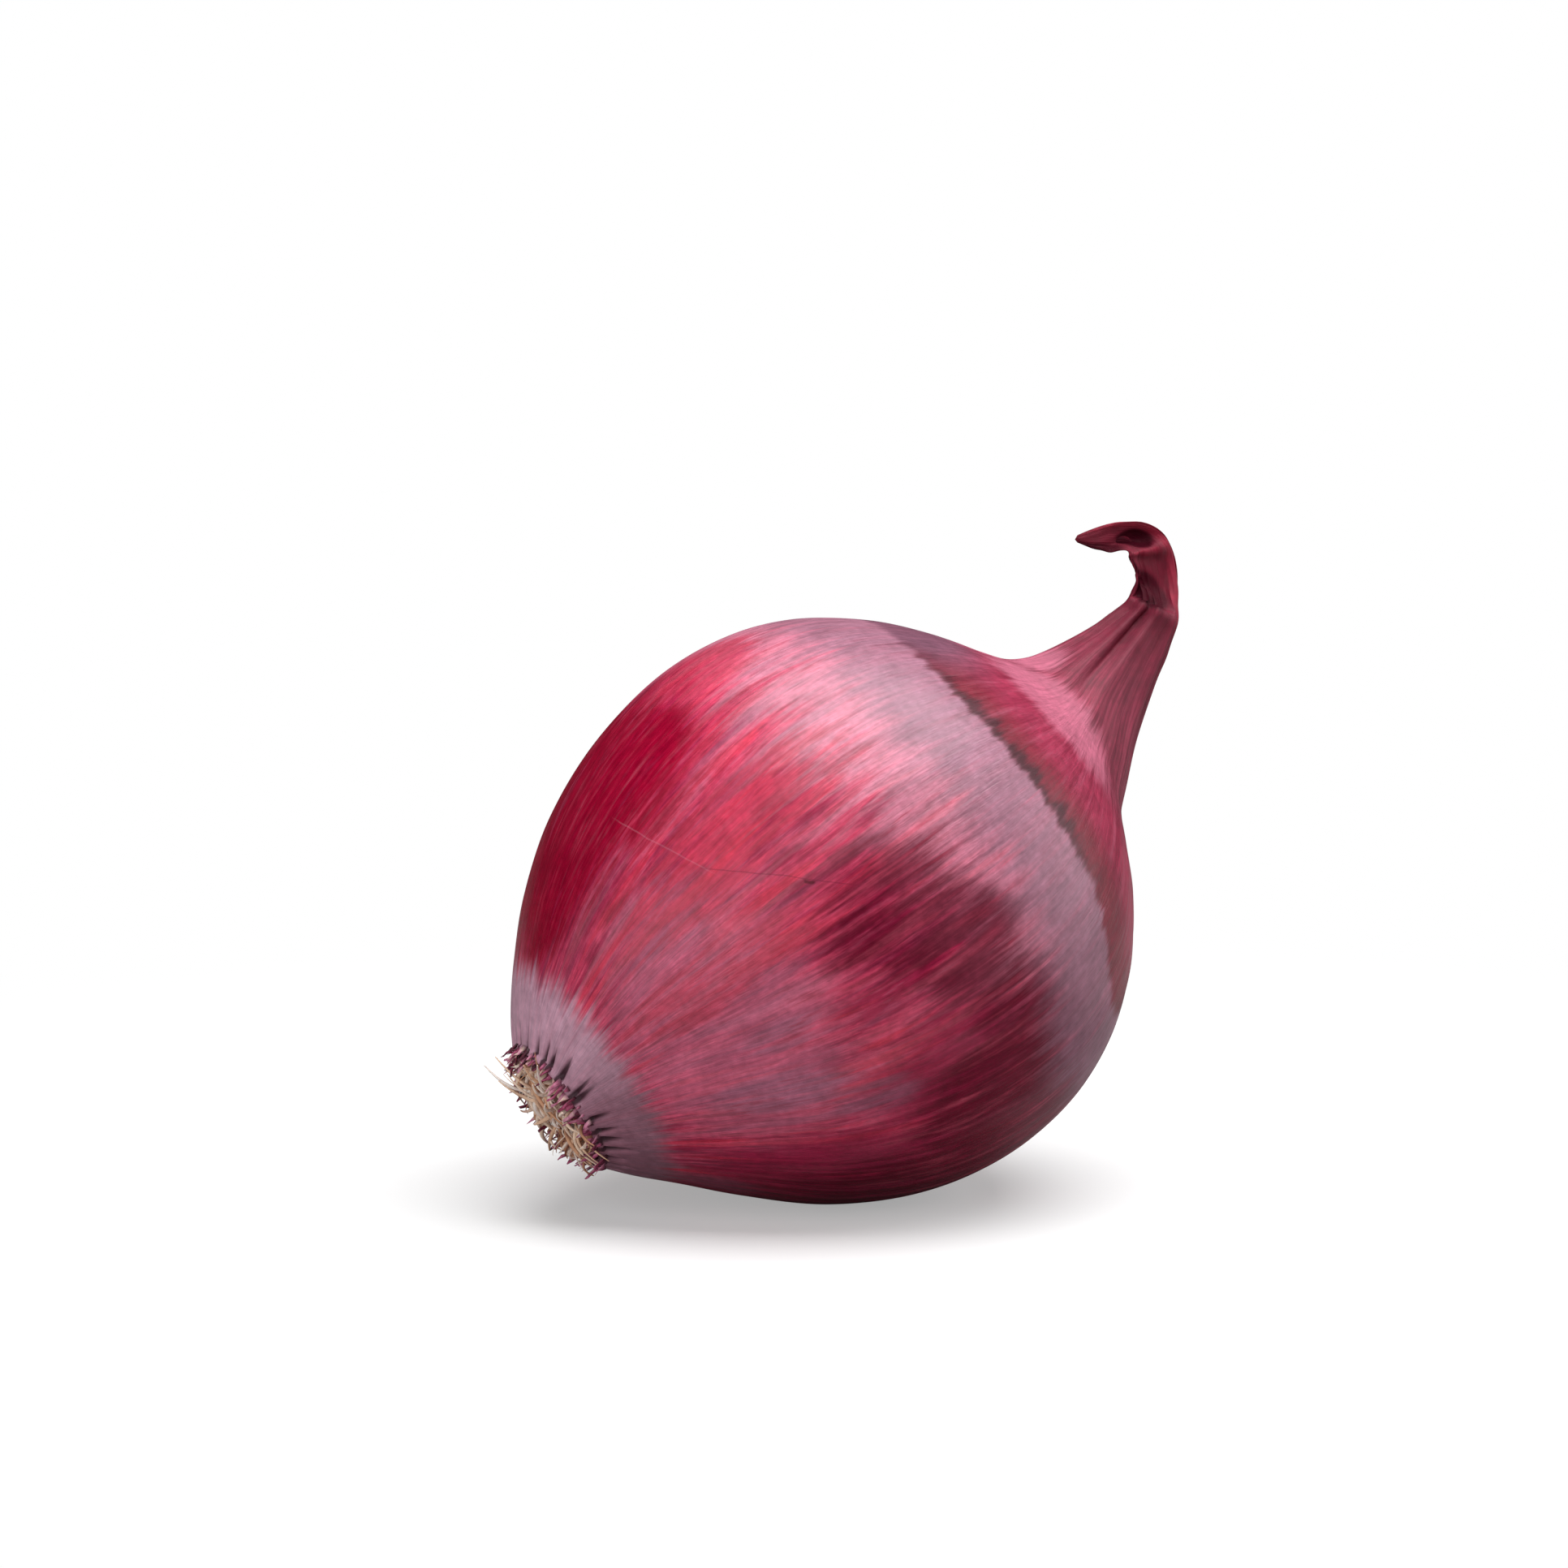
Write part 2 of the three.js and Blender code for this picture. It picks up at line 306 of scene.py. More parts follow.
# %% Cracks and broad waves
def cracks(draw):
    """How deep the skin is split, from 0 to 1. A crack narrows to its far end."""
    depth = np.zeros((SKIN_RINGS, SKIN_SIDES))
    for angle in spread(CRACK_COUNT, 0.7, draw):
        length = draw.uniform(*CRACK_LENGTHS)
        left = np.clip(1 - arc / length, 0, 1)
        width = math.radians(draw.uniform(*CRACK_WIDTHS)) * (0.35 + 0.65 * left)
        shape = np.exp(-((apart(angle)[None, :] / width[:, None]) ** 2))
        depth = np.maximum(depth, (left ** 0.7)[:, None] * draw.uniform(0.6, 1.0) * shape)
    return depth


def gentle_waves():
    """Broad hollows, none deeper than four tenths of a millimetre."""
    a, s = angles[None, :], arc[:, None] / 100
    waves = np.sin(2 * a + 5 * s) + 0.7 * np.sin(3 * a - 6 * s + 2) + 0.5 * np.sin(5 * a + 9 * s + 4)
    inside = smooth(4, 20, arc) * (1 - smooth(95, 110, arc))
    return 0.09 * (waves - 2.0) * inside[:, None]


crack = cracks(np.random.default_rng(7))
relief = ribs(np.random.default_rng(3)) - pleats(np.random.default_rng(19)) + gentle_waves()
relief -= CRACK_DEPTH * crack
print("relief of the globe and neck from", round(float(relief.min()), 2), "to",
      round(float(relief.max()), 2), "mm")

# %% [markdown]
# ## The folds of the tail
#
# The tail is a leaf that has dried and shrunk, so it is dented and creased. Where
# the neck's pleats end, its skin rolls into a lip with a hollow behind it. The dents
# that show are ovals, placed one by one. Waves that wind along the tail do the rest,
# because a dry leaf has no flat stretch. The narrower a wave is, the lower it is.

# %% Folds of the tail
# middle angle, middle distance from the root rim, reach in degrees, reach in mm, depth in mm
TAIL_DENTS = [
    (352, 128.6, 30, 1.5, 0.5),
    (88, 133.8, 40, 3.0, 0.45),
    (120, 126.0, 16, 5.0, 0.3),
    (165, 127.0, 14, 6.0, 0.25),
    (230, 130.0, 22, 5.0, 0.35),
    (290, 136.0, 24, 4.0, 0.3),
]
LIP_AT = 121.3
LIP_RISE = 0.34
LIP_HOLLOW = 1.0
CREASE_AT = 130.9
CREASE_RISE = 0.16
WAVES_IN_A_TURN = (2, 3, 5, 7, 9)
WAVE_HEIGHT = 0.1


def oval(angle, middle, reach, length):
    """1 in the middle of an oval of the skin, and 0 outside it."""
    away = np.hypot(apart(math.radians(angle))[None, :] / math.radians(reach),
                    ((arc - middle) / length)[:, None])
    return 1 - smooth(0.4, 1.1, away)


def ridge(place, width):
    """A ridge across the onion at a distance from the root rim."""
    return np.exp(-(((arc - place) / width) ** 2))[:, None]


def on_one_side(middle, full, none):
    """1 within full degrees of the middle angle, and 0 past none degrees."""
    return 1 - smooth(math.radians(full), math.radians(none), apart(math.radians(middle)))


def lip_and_crease():
    behind = smooth(LIP_AT + 0.5, LIP_AT + 1.7, arc) * (1 - smooth(126, 129.5, arc))
    lip = LIP_RISE * ridge(LIP_AT, 0.9) - LIP_HOLLOW * behind[:, None]
    crease = CREASE_RISE * ridge(CREASE_AT, 0.5)
    return lip * on_one_side(54, 46, 72) + crease * on_one_side(78, 60, 80)


def folds(draw):
    shape = lip_and_crease()
    for angle, middle, reach, length, depth in TAIL_DENTS:
        shape -= depth * oval(angle, middle, reach, length)
    dry = smooth(112, 124, arc) * (1 - smooth(136, 141, arc))
    for count in WAVES_IN_A_TURN:
        wind = draw.uniform(0.5, 1.6)
        shift = draw.uniform(0, 6)
        wave = np.sin(count * angles[None, :] + wind * arc[:, None] + shift)
        shape += WAVE_HEIGHT / count ** 0.6 * wave * dry[:, None]
    return shape


relief += folds(np.random.default_rng(2))
print("with the tail from", round(float(relief.min()), 2), "to", round(float(relief.max()), 2), "mm")

# %% [markdown]
# ## The skin as a mesh
#
# The relief moves each point along the skin's own normal. The normals of a grid are
# the cross product of its two directions, so no mesh tool is needed for them. Inside
# the rim the skin goes on as a shallow socket, which the root plate sits in. Relief
# could push a point a hair past the CAD model's box, so the points are kept within it.

# %% Skin mesh
SOCKET_STEPS = 4
BOX_MARGIN = 0.02 * MM


def grid_normals(points):
    along = np.gradient(points, axis=0)
    around = np.roll(points, -1, axis=1) - np.roll(points, 1, axis=1)
    normal = np.cross(around, along)
    return normal / np.linalg.norm(normal, axis=-1, keepdims=True)


def socket_rings():
    """Rings from the socket's floor to the rim, with a few steps for each stretch."""
    rings = []
    for (a0, r0), (a1, r1) in zip(ROOT_RIM, ROOT_RIM[1:]):
        for f in np.linspace(0, 1, SOCKET_STEPS, endpoint=False):
            radius, along = r0 + (r1 - r0) * f, a0 + (a1 - a0) * f
            lift = GLOBE[0][2] + radius * np.cos(angles)
            rings.append(placed(along, lift, -radius * np.sin(angles)))
    return np.array(rings)


def closed_tube(rings, start, end):
    """Points and faces of a tube of rings, closed with a fan at each end."""
    count, sides = rings.shape[:2]
    points = np.concatenate([rings.reshape(-1, 3), [start, end]])
    ring, side = np.meshgrid(np.arange(count - 1), np.arange(sides), indexing="ij")
    a, b = ring * sides + side, ring * sides + (side + 1) % sides
    quads = np.stack([a, b, b + sides, a + sides], -1).reshape(-1, 4)
    s = np.arange(sides)
    first = np.stack([np.full(sides, count * sides), (s + 1) % sides, s], -1)
    last = (count - 1) * sides
    final = np.stack([np.full(sides, count * sides + 1), last + s, last + (s + 1) % sides], -1)
    return points, quads.tolist() + first.tolist() + final.tolist()


def mesh_object(name, points, faces):
    mesh = bpy.data.meshes.new(name)
    mesh.from_pydata(np.asarray(points).tolist(), [], faces)
    mesh.update()
    mesh.shade_smooth()
    made = bpy.data.objects.new(name, mesh)
    bpy.context.scene.collection.objects.link(made)
    return made


def put_attribute(mesh, name, values, kind="FLOAT"):
    """Stores one value for each vertex, which a material reads by name."""
    values = np.asarray(values, np.float32)
    attribute = mesh.attributes.new(name, kind, "POINT")
    attribute.data.foreach_set("vector" if kind == "FLOAT_VECTOR" else "value", values.ravel())


base = section_points(ring_rows, angles)
skin_grid = base + grid_normals(base) * relief[..., None] * MM
socket = socket_rings()
rings = np.concatenate([socket, skin_grid])
floor_middle = placed(ROOT_RIM[0][0], GLOBE[0][2], 0.0)
points, faces = closed_tube(rings, floor_middle, placed(*TAIL_TIP))
points = np.clip(points, cad_low, np.array(cad_high) - BOX_MARGIN)
bulb_skin = mesh_object("bulb_skin", points, faces)
print("bulb skin:", len(points), "points,", sum(len(f) - 2 for f in faces), "triangles")

# %% [markdown]
# ## What the skin's material needs to know
#
# Streaks on an onion follow its meridians, which no plain texture coordinate does.
# So each point carries `flow`: the cosine and sine of its angle round the axis, and
# its distance from the root rim. Noise that is stretched along the third number
# runs from root to neck, has no seam, and meets in a point at both ends.
#
# Broad patches of colour are carried too, as masks. A patch is an oval of the skin,
# given by its middle and its reach round and along the onion. The material makes
# their edges ragged later. A strength over 1 widens the part of the oval that is
# fully covered. `shoulder` is each point's distance past the line where the globe's
# skin ends and the neck's begins, and `crack` is how deep the skin is split there.

# %% Patches of colour
ARC_UNIT = 100.0
SOCKET_DEPTH = 8.0
SHOULDER_AT = 76.0

# middle angle, middle distance from the root rim, reach in degrees, reach in mm, strength
PATCHES = {
    # the skin's deep red, made darker still as painted shade
    "crimson_and_shade": [
        (-20, 29, 62, 26, 1.0),
        (2, 20, 26, 15, 1.0),
        (6, 38, 22, 12, 1.0),
        (-72, 46, 34, 30, 0.8),
        (222, 34, 36, 30, 0.9),
        (268, 56, 22, 20, 0.7),
    ],
    "salmon": [
        (0, 54, 15, 9, 0.9),
        (-40, 62, 20, 9, 0.7),
        (196, 48, 20, 12, 0.7),
        (290, 50, 18, 12, 0.8),
    ],
    # dark pigment, partly painted shade on the near side and underneath
    "maroon_and_shade": [
        (74, 47, 19, 13, 0.74),
        (86, 53, 19, 11, 0.8),
        (104, 55, 16, 9, 0.75),
        (126, 51, 26, 18, 1.0),
        (142, 60, 28, 24, 1.0),
        (150, 38, 30, 26, 0.8),
        (184, 58, 30, 22, 0.8),
        (250, 28, 18, 16, 0.8),
        (304, 58, 16, 12, 0.8),
    ],
    "plum": [
        (138, 30, 28, 24, 1.0),
        (112, 48, 20, 20, 0.9),
        (165, 24, 30, 20, 0.8),
        (278, 24, 24, 18, 0.7),
    ],
    "violet": [
        (101, 24, 9, 12, 0.75),
        (86, 28, 6, 7, 0.6),
        (109, 35, 7, 8, 0.6),
        (152, 14, 12, 9, 0.6),
        (236, 50, 12, 14, 0.7),
        (320, 34, 12, 16, 0.7),
    ],
    "blush": [
        (78, 22, 56, 18, 0.9),
        (210, 24, 60, 18, 0.8),
        (330, 30, 30, 18, 0.6),
    ],
    # painted highlights where the neck widens
    "neck_highlight": [
        (52, 94.8, 56, 8.6, 1.0),
        (8, 103, 26, 8, 0.85),
        (350, 92, 40, 8, 0.7),
        (200, 92, 60, 9, 0.9),
        (290, 91, 30, 8, 0.8),
    ],
    # painted shade in the tail's hollows and folds
    "fold_shade": [
        (52, 124.8, 74, 4.2, 1.6),
        (88, 134, 44, 3.2, 1.0),
        (352, 129, 36, 2.6, 0.8),
        (30, 138, 46, 6, 0.7),
        (235, 130, 30, 6, 0.8),
        (300, 136, 30, 5, 0.8),
    ],
    # painted light along the tail's edges and its crease
    "rim": [
        (160, 134, 46, 9, 1.0),
        (140, 126, 22, 8, 0.8),
        (75, 131, 60, 0.9, 0.7),
    ],
    "dull": [
        (8, 80, 34, 12, 1.0),
        (318, 80, 50, 12, 0.8),
        (200, 80, 60, 12, 0.8),
    ],
    # where the painted shade of the shoulder line is laid
    "shoulder_shade": [
        (62, 76, 42, 14, 1.0),
        (-30, 76, 30, 14, 0.5),
        (160, 76, 40, 14, 0.6),
        (230, 76, 40, 14, 0.9),
        (290, 76, 30, 14, 0.6),
    ],
    # a darker collar, partly painted shade on its lower near side
    "ash_and_shade": [
        (118, 3, 62, 20, 1.0),
        (-55, 3, 30, 20, 0.7),
        (225, 3, 50, 20, 0.7),
    ],
    "ember": [
        (42, 34, 16, 30, 0.62),
        (20, 38, 10, 18, 0.6),
        (66, 24, 12, 22, 0.5),
        (200, 30, 14, 26, 0.6),
        (246, 44, 16, 26, 0.6),
        (285, 38, 14, 26, 0.6),
        (330, 44, 12, 22, 0.55),
    ],
}

# %% [markdown]
# All of them are worked out on the grid of the skin. The socket and the two points
# that close the tube aren't on that grid, so they get values of their own.

# %% Attributes of the skin
def mask_of(patches):
    mask = np.zeros((SKIN_RINGS, SKIN_SIDES))
    for angle, middle, reach, length, strength in patches:
        mask = np.maximum(mask, strength * oval(angle, middle, reach, length))
    return mask


def over_whole_skin(values, at_floor, at_tip):
    """Values on the grid, carried on over the socket and onto the two closing points."""
    inner = np.repeat(values[:1], len(socket), axis=0)
    return np.concatenate([np.concatenate([inner, values]).ravel(), [at_floor, at_tip]])


def flow_of_skin():
    distance = np.concatenate([np.linspace(-SOCKET_DEPTH, 0, len(socket)), arc]) / ARC_UNIT
    flow = np.zeros((len(distance), SKIN_SIDES, 3))
    flow[..., 0], flow[..., 1] = np.cos(angles), np.sin(angles)
    flow[..., 2] = distance[:, None]
    ends = [[0, 0, distance[0]], [0, 0, distance[-1]]]
    return np.concatenate([flow.reshape(-1, 3), ends])


def shoulder_distance():
    """How far each point is past the line where the globe's skin gives way to the neck's."""
    near = np.maximum(0, np.cos(angles - math.radians(66)))
    line = SHOULDER_AT - 1.9 * near ** 2 + 1.3 * np.sin(2 * angles + 2.2) * (1 - near ** 2)
    line = line - 6.5 * np.exp(-((apart(math.radians(128)) / math.radians(22)) ** 2))
    return arc[:, None] - line[None, :]


shoulder = shoulder_distance()
put_attribute(bulb_skin.data, "flow", flow_of_skin(), "FLOAT_VECTOR")
put_attribute(bulb_skin.data, "shoulder", over_whole_skin(shoulder, -80, 60))
for name, patches in PATCHES.items():
    put_attribute(bulb_skin.data, name, over_whole_skin(mask_of(patches), 0, 0))
put_attribute(bulb_skin.data, "crack", over_whole_skin(crack, 1, 0))
print("attributes:", [a.name for a in bulb_skin.data.attributes if not a.is_internal])

# %% [markdown]
# ## Helpers for node trees
#
# Shader trees and geometry trees are built the same way: add a node, set it up, and
# give each input a value or a link. One helper does all three, so the recipes that
# follow read as lists of what feeds what.

# %% Node helpers
def node(tree, kind, inputs=None, **settings):
    made = tree.nodes.new(kind)
    for key, value in settings.items():
        setattr(made, key, value)
    for key, value in (inputs or {}).items():
        if isinstance(value, bpy.types.NodeSocket):
            tree.links.new(value, made.inputs[key])
        else:
            made.inputs[key].default_value = value
    return made


def calc(tree, operation, a, b=0.0, c=0.0):
    return node(tree, "ShaderNodeMath", {0: a, 1: b, 2: c}, operation=operation).outputs[0]


def vector_calc(tree, operation, a, b=(0, 0, 0), scale=1.0):
    inputs = {"Scale": scale} if operation == "SCALE" else {1: b}
    made = node(tree, "ShaderNodeVectorMath", {0: a, **inputs}, operation=operation)
    return made.outputs["Value" if operation in ("LENGTH", "DOT_PRODUCT") else "Vector"]


def mixed(tree, factor, a, b):
    """Colour a where factor is 0, and b where it is 1."""
    made = node(tree, "ShaderNodeMix", {0: factor, 6: a, 7: b}, data_type="RGBA")
    return made.outputs[2]


def xyz(tree, x=0.0, y=0.0, z=0.0):
    return node(tree, "ShaderNodeCombineXYZ", {0: x, 1: y, 2: z}).outputs[0]


def ranged(tree, value, low, high, to_low=0.0, to_high=1.0, kind="SMOOTHSTEP"):
    """Turns low to high into to_low to to_high by a smooth step, and stays there beyond."""
    inputs = {"Value": value, "From Min": low, "From Max": high, "To Min": to_low, "To Max": to_high}
    return node(tree, "ShaderNodeMapRange", inputs, interpolation_type=kind).outputs[0]


def evenly(tree, value, low, high, to_low=0.0, to_high=1.0):
    """The same in a straight line."""
    return ranged(tree, value, low, high, to_low, to_high, "LINEAR")


def noise(tree, place, scale, detail):
    inputs = {"Vector": place, "Scale": scale, "Detail": detail}
    return node(tree, "ShaderNodeTexNoise", inputs).outputs[0]


def shaking(tree, scale, detail, **place):
    """Noise as a vector that swings to all sides of zero."""
    inputs = {"Scale": scale, "Detail": detail, **place}
    colour = node(tree, "ShaderNodeTexNoise", inputs).outputs["Color"]
    return vector_calc(tree, "SUBTRACT", colour, (0.5, 0.5, 0.5))


def own_place(tree):
    """Each point's place on its own piece, in metres."""
    return node(tree, "ShaderNodeTexCoord").outputs["Object"]


def attribute(tree, name, output="Fac"):
    return node(tree, "ShaderNodeAttribute", attribute_name=name).outputs[output]

# %% [markdown]
# A group's sockets are declared one by one in Blender, so a helper makes them from
# lists. Shaders reckon with amounts of light, and a colour chart doesn't, so another
# helper turns the one into the other.

# %% Groups and colours
def new_group(name, kind, inputs, outputs):
    """A node group with its sockets. Each input is a name with its type and its value."""
    tree = bpy.data.node_groups.new(name, kind)
    for label, socket_type, value in inputs:
        socket = tree.interface.new_socket(label, in_out="INPUT", socket_type=socket_type)
        if value is not None:
            socket.default_value = value
    for label, socket_type in outputs:
        tree.interface.new_socket(label, in_out="OUTPUT", socket_type=socket_type)
    return tree, tree.nodes.new("NodeGroupInput").outputs, tree.nodes.new("NodeGroupOutput")


def use_group(tree, group, inputs):
    return node(tree, "ShaderNodeGroup", inputs, node_tree=group).outputs[0]


def rgb(red, green, blue):
    """A colour as a paint chart gives it, 0 to 255, turned to the linear values of shaders."""
    linear = [(v / 255 / 12.92) if v <= 10 else ((v / 255 + 0.055) / 1.055) ** 2.4
              for v in (red, green, blue)]
    return (*linear, 1.0)


# %% [markdown]
# ## Streaks, the effect that the whole skin shares
#
# Everything that colours an onion's skin is drawn out from root to neck. The streaks
# group stretches noise along the third number of a vector and lets the streaks
# wander a little. The ragged edge group takes a soft mask and pulls its edge out into
# streaks, as the colours of an onion meet. Both are groups, because the skin uses
# them many times over with other numbers.

# %% Shader groups
def streaks_group():
    floats = [("Around", 10.0), ("Along", 3.0), ("Detail", 3.0), ("Wander", 0.03), ("Shift", 0.0)]
    sockets = [("Flow", "NodeSocketVector", None)]
    sockets += [(name, "NodeSocketFloat", value) for name, value in floats]
    tree, given, result = new_group("streaks", "ShaderNodeTree", sockets,
                                    [("Value", "NodeSocketFloat")])
    slow = vector_calc(tree, "MULTIPLY", given["Flow"], (2.2, 2.2, 4.0))
    wander = vector_calc(tree, "SCALE", shaking(tree, 1.0, 1.0, Vector=slow), scale=given["Wander"])
    bent = vector_calc(tree, "ADD", given["Flow"], wander)
    place = vector_calc(tree, "MULTIPLY", bent,
                        xyz(tree, given["Around"], given["Around"], given["Along"]))
    moved = vector_calc(tree, "ADD", place, xyz(tree, z=given["Shift"]))
    inputs = {"Vector": moved, "Scale": 1.0, "Detail": given["Detail"], "Roughness": 0.6}
    value = node(tree, "ShaderNodeTexNoise", inputs).outputs["Fac"]
    tree.links.new(value, result.inputs["Value"])
    return tree


def ragged_edge_group():
    sockets = [(name, "NodeSocketFloat", value) for name, value in
               (("Mask", 0.0), ("Streak", 0.5), ("Raggedness", 1.0), ("Softness", 0.15))]
    tree, given, result = new_group("ragged_edge", "ShaderNodeTree", sockets,
                                    [("Mask", "NodeSocketFloat")])
    pull = calc(tree, "MULTIPLY", calc(tree, "SUBTRACT", given["Streak"], 0.5), given["Raggedness"])
    pulled = calc(tree, "ADD", given["Mask"], pull)
    low = calc(tree, "SUBTRACT", 0.5, given["Softness"])
    high = calc(tree, "ADD", 0.5, given["Softness"])
    tree.links.new(ranged(tree, pulled, low, high), result.inputs["Mask"])
    return tree


STREAKS = streaks_group()
RAGGED = ragged_edge_group()
print("shader groups:", STREAKS.name, "and", RAGGED.name)


def streaks(tree, flow, around, along, detail=3.0, wander=0.03, shift=0.0):
    return use_group(tree, STREAKS, {"Flow": flow, "Around": around, "Along": along,
                                     "Detail": detail, "Wander": wander, "Shift": shift})


def ragged(tree, mask, streak, raggedness, softness):
    return use_group(tree, RAGGED, {"Mask": mask, "Streak": streak,
                                    "Raggedness": raggedness, "Softness": softness})

# %% [markdown]
# Every material of the onion ends in one Principled BSDF. One helper makes it, and
# another feeds its inputs.

# %% Material helpers
def new_material(name):
    material = bpy.data.materials.new(name)
    material.use_nodes = True
    material.node_tree.nodes.clear()
    tree = material.node_tree
    surface = node(tree, "ShaderNodeBsdfPrincipled")
    out = node(tree, "ShaderNodeOutputMaterial")
    tree.links.new(surface.outputs[0], out.inputs[0])
    return material, tree, surface


def feed(tree, surface, **inputs):
    """Links or sets inputs of a shader, whose names are given with _ for a space."""
    for key, value in inputs.items():
        socket = surface.inputs[key.replace("_", " ")]
        if isinstance(value, bpy.types.NodeSocket):
            tree.links.new(value, socket)
        else:
            socket.default_value = value


# %% [markdown]
# ## The skin's colours
#
# The colours are laid over each other. A rose ground comes first, streaked from root
# to neck. Patches lie on it: crimson is the skin's deep red, made darker still as
# painted shade; violet is the silvery grey where it has lifted and dried; and maroon
# is dark pigment, partly painted shade on the near side and underneath. Round the
# roots and before the shoulder the skin is dry, dull and pale, and round the roots it
# is darker on the lower near side, partly painted shade. The neck and the tail darken
# from plum to maroon.

# %% Skin colours
ROSE = rgb(210, 66, 100)
RASPBERRY = rgb(160, 32, 70)
WINE = rgb(112, 18, 44)
PINK = rgb(210, 112, 140)
# the crimson and maroon here are also laid on as painted shade
CRIMSON_AND_SHADE = rgb(142, 0, 38)
SALMON = rgb(186, 38, 68)
MAROON_AND_SHADE = rgb(92, 0, 30)
PLUM = rgb(150, 16, 62)
VIOLET = rgb(146, 98, 122)
EMBER = rgb(184, 34, 62)
PALE = rgb(200, 139, 159)
BLUSH = rgb(206, 122, 150)
DUSK = rgb(122, 50, 78)
GLOW = rgb(220, 50, 74)
# the shoulder's grey band, partly painted reflection, and the red band past it, painted shade
BLOOM_AND_REFLECTION = rgb(138, 98, 116)
SHADED_BAND = rgb(116, 22, 42)
SHADED_BAND_EDGE = rgb(150, 44, 72)
COLLAR = rgb(198, 156, 176)
# partly painted shade on the collar's lower near side
ASH_AND_SHADE = rgb(140, 101, 117)
NECK = rgb(128, 36, 60)
# a painted highlight where the neck widens
NECK_HIGHLIGHT = rgb(188, 104, 128)
NECK_SHADE = rgb(98, 16, 42)
TAIL = rgb(112, 8, 38)
# painted light along the tail's edges and crease
RIM_LIGHT = rgb(140, 18, 48)
# painted shade in the tail's hollows and folds
FOLD_SHADE = rgb(46, 2, 14)
# painted shade along the hollow of the shoulder
PAINTED_SHOULDER_SHADE = rgb(56, 6, 22)
# painted shade in the cracks round the root rim
CRACK_SHADE = rgb(48, 8, 24)
DULL = rgb(112, 76, 94)
WHITE = rgb(255, 255, 255)
DEEP_GLOSS = rgb(255, 120, 150)


def laid(tree, under, colour, mask, strength):
    """One colour laid over another where the mask says."""
    return mixed(tree, calc(tree, "MULTIPLY", mask, strength), under, colour)


def toned(tree, colour, tone):
    return vector_calc(tree, "MULTIPLY", colour, xyz(tree, tone, tone, tone))


# %% [markdown]
# The streaks come in seven kinds, all from the same group with other numbers. The
# first five colour the skin, from broad bands down to single fibres. `edge` frays
# the edges of most patches, and `teeth` gives the ragged line of painted shade on the
# shoulder its long and short points. A small table holds them, and another holds the
# patches' paint.

# %% Ground and patches
# fineness round the onion and along it, detail, wander, shift
STREAK_KINDS = {
    "wide": (8, 4.0, 3.0, 0.1, 0.0),
    "bands": (15, 3.4, 4.0, 0.07, 9.0),
    "medium": (22, 8.5, 4.0, 0.05, 0.0),
    "fine": (58, 20.0, 3.0, 0.02, 0.0),
    "fibre": (120, 36.0, 2.0, 0.01, 0.0),
    "edge": (26, 4.5, 4.0, 0.03, 4.0),
    "teeth": (16, 1.0, 2.0, 0.0, 2.0),
}
# colour, the kind of streak that frays its edge, raggedness, softness, strength
PATCH_PAINT = {
    "blush": (BLUSH, "edge", 1.4, 0.4, 0.4),
    "plum": (PLUM, "edge", 1.4, 0.35, 0.8),
    "violet": (VIOLET, "edge", 1.8, 0.35, 0.6),
    # dark pigment, partly painted shade
    "maroon_and_shade": (MAROON_AND_SHADE, "edge", 2.6, 0.42, 0.85),
    "ember": (EMBER, "medium", 2.6, 0.3, 0.62),
    # deep red, made darker still as painted shade
    "crimson_and_shade": (CRIMSON_AND_SHADE, "medium", 2.6, 0.36, 0.96),
    "salmon": (SALMON, "edge", 3.0, 0.4, 0.7),
}


def ground_colour(tree, shoulder, lines):
    """Rose with darker and lighter streaks, and paler towards the shoulder."""
    colour = mixed(tree, ranged(tree, lines["medium"], 0.38, 0.60), RASPBERRY, ROSE)
    colour = laid(tree, colour, PINK, ranged(tree, lines["wide"], 0.48, 0.68), 0.42)
    colour = laid(tree, colour, PINK, ranged(tree, lines["fine"], 0.5, 0.7), 0.25)
    colour = laid(tree, colour, WINE, ranged(tree, lines["fine"], 0.48, 0.32), 0.3)
    colour = laid(tree, colour, DUSK, ranged(tree, lines["bands"], 0.47, 0.36), 0.5)
    colour = laid(tree, colour, GLOW, ranged(tree, lines["bands"], 0.53, 0.64), 0.5)
    pale = ragged(tree, evenly(tree, shoulder, -32, -14), lines["edge"], 2.4, 0.35)
    return laid(tree, colour, PALE, pale, 0.6)


def patched_colour(tree, colour, lines):
    """The patches in the order in which they lie over each other."""
    for name, (paint, kind, raggedness, softness, strength) in PATCH_PAINT.items():
        mask = ragged(tree, attribute(tree, name), lines[kind], raggedness, softness)
        colour = laid(tree, colour, paint, mask, strength)
    return colour


print(len(STREAK_KINDS), "kinds of streaks and", len(PATCH_PAINT), "kinds of patches")

# %% [markdown]
# ## Shoulder, neck and tail
#
# At the shoulder the globe turns into the neck through a shallow hollow. Before the
# hollow lies a grey band, partly the dry skin's own silvery bloom and partly painted
# reflection. Along the hollow runs a ragged dark line of painted shade, and past it a
# dark red band, the red skin with painted shade over it. The neck is plum, with pale
# painted highlights where it widens, and the tail is dry, dark maroon, with painted
# shade in its hollows and folds and painted light along its edges.

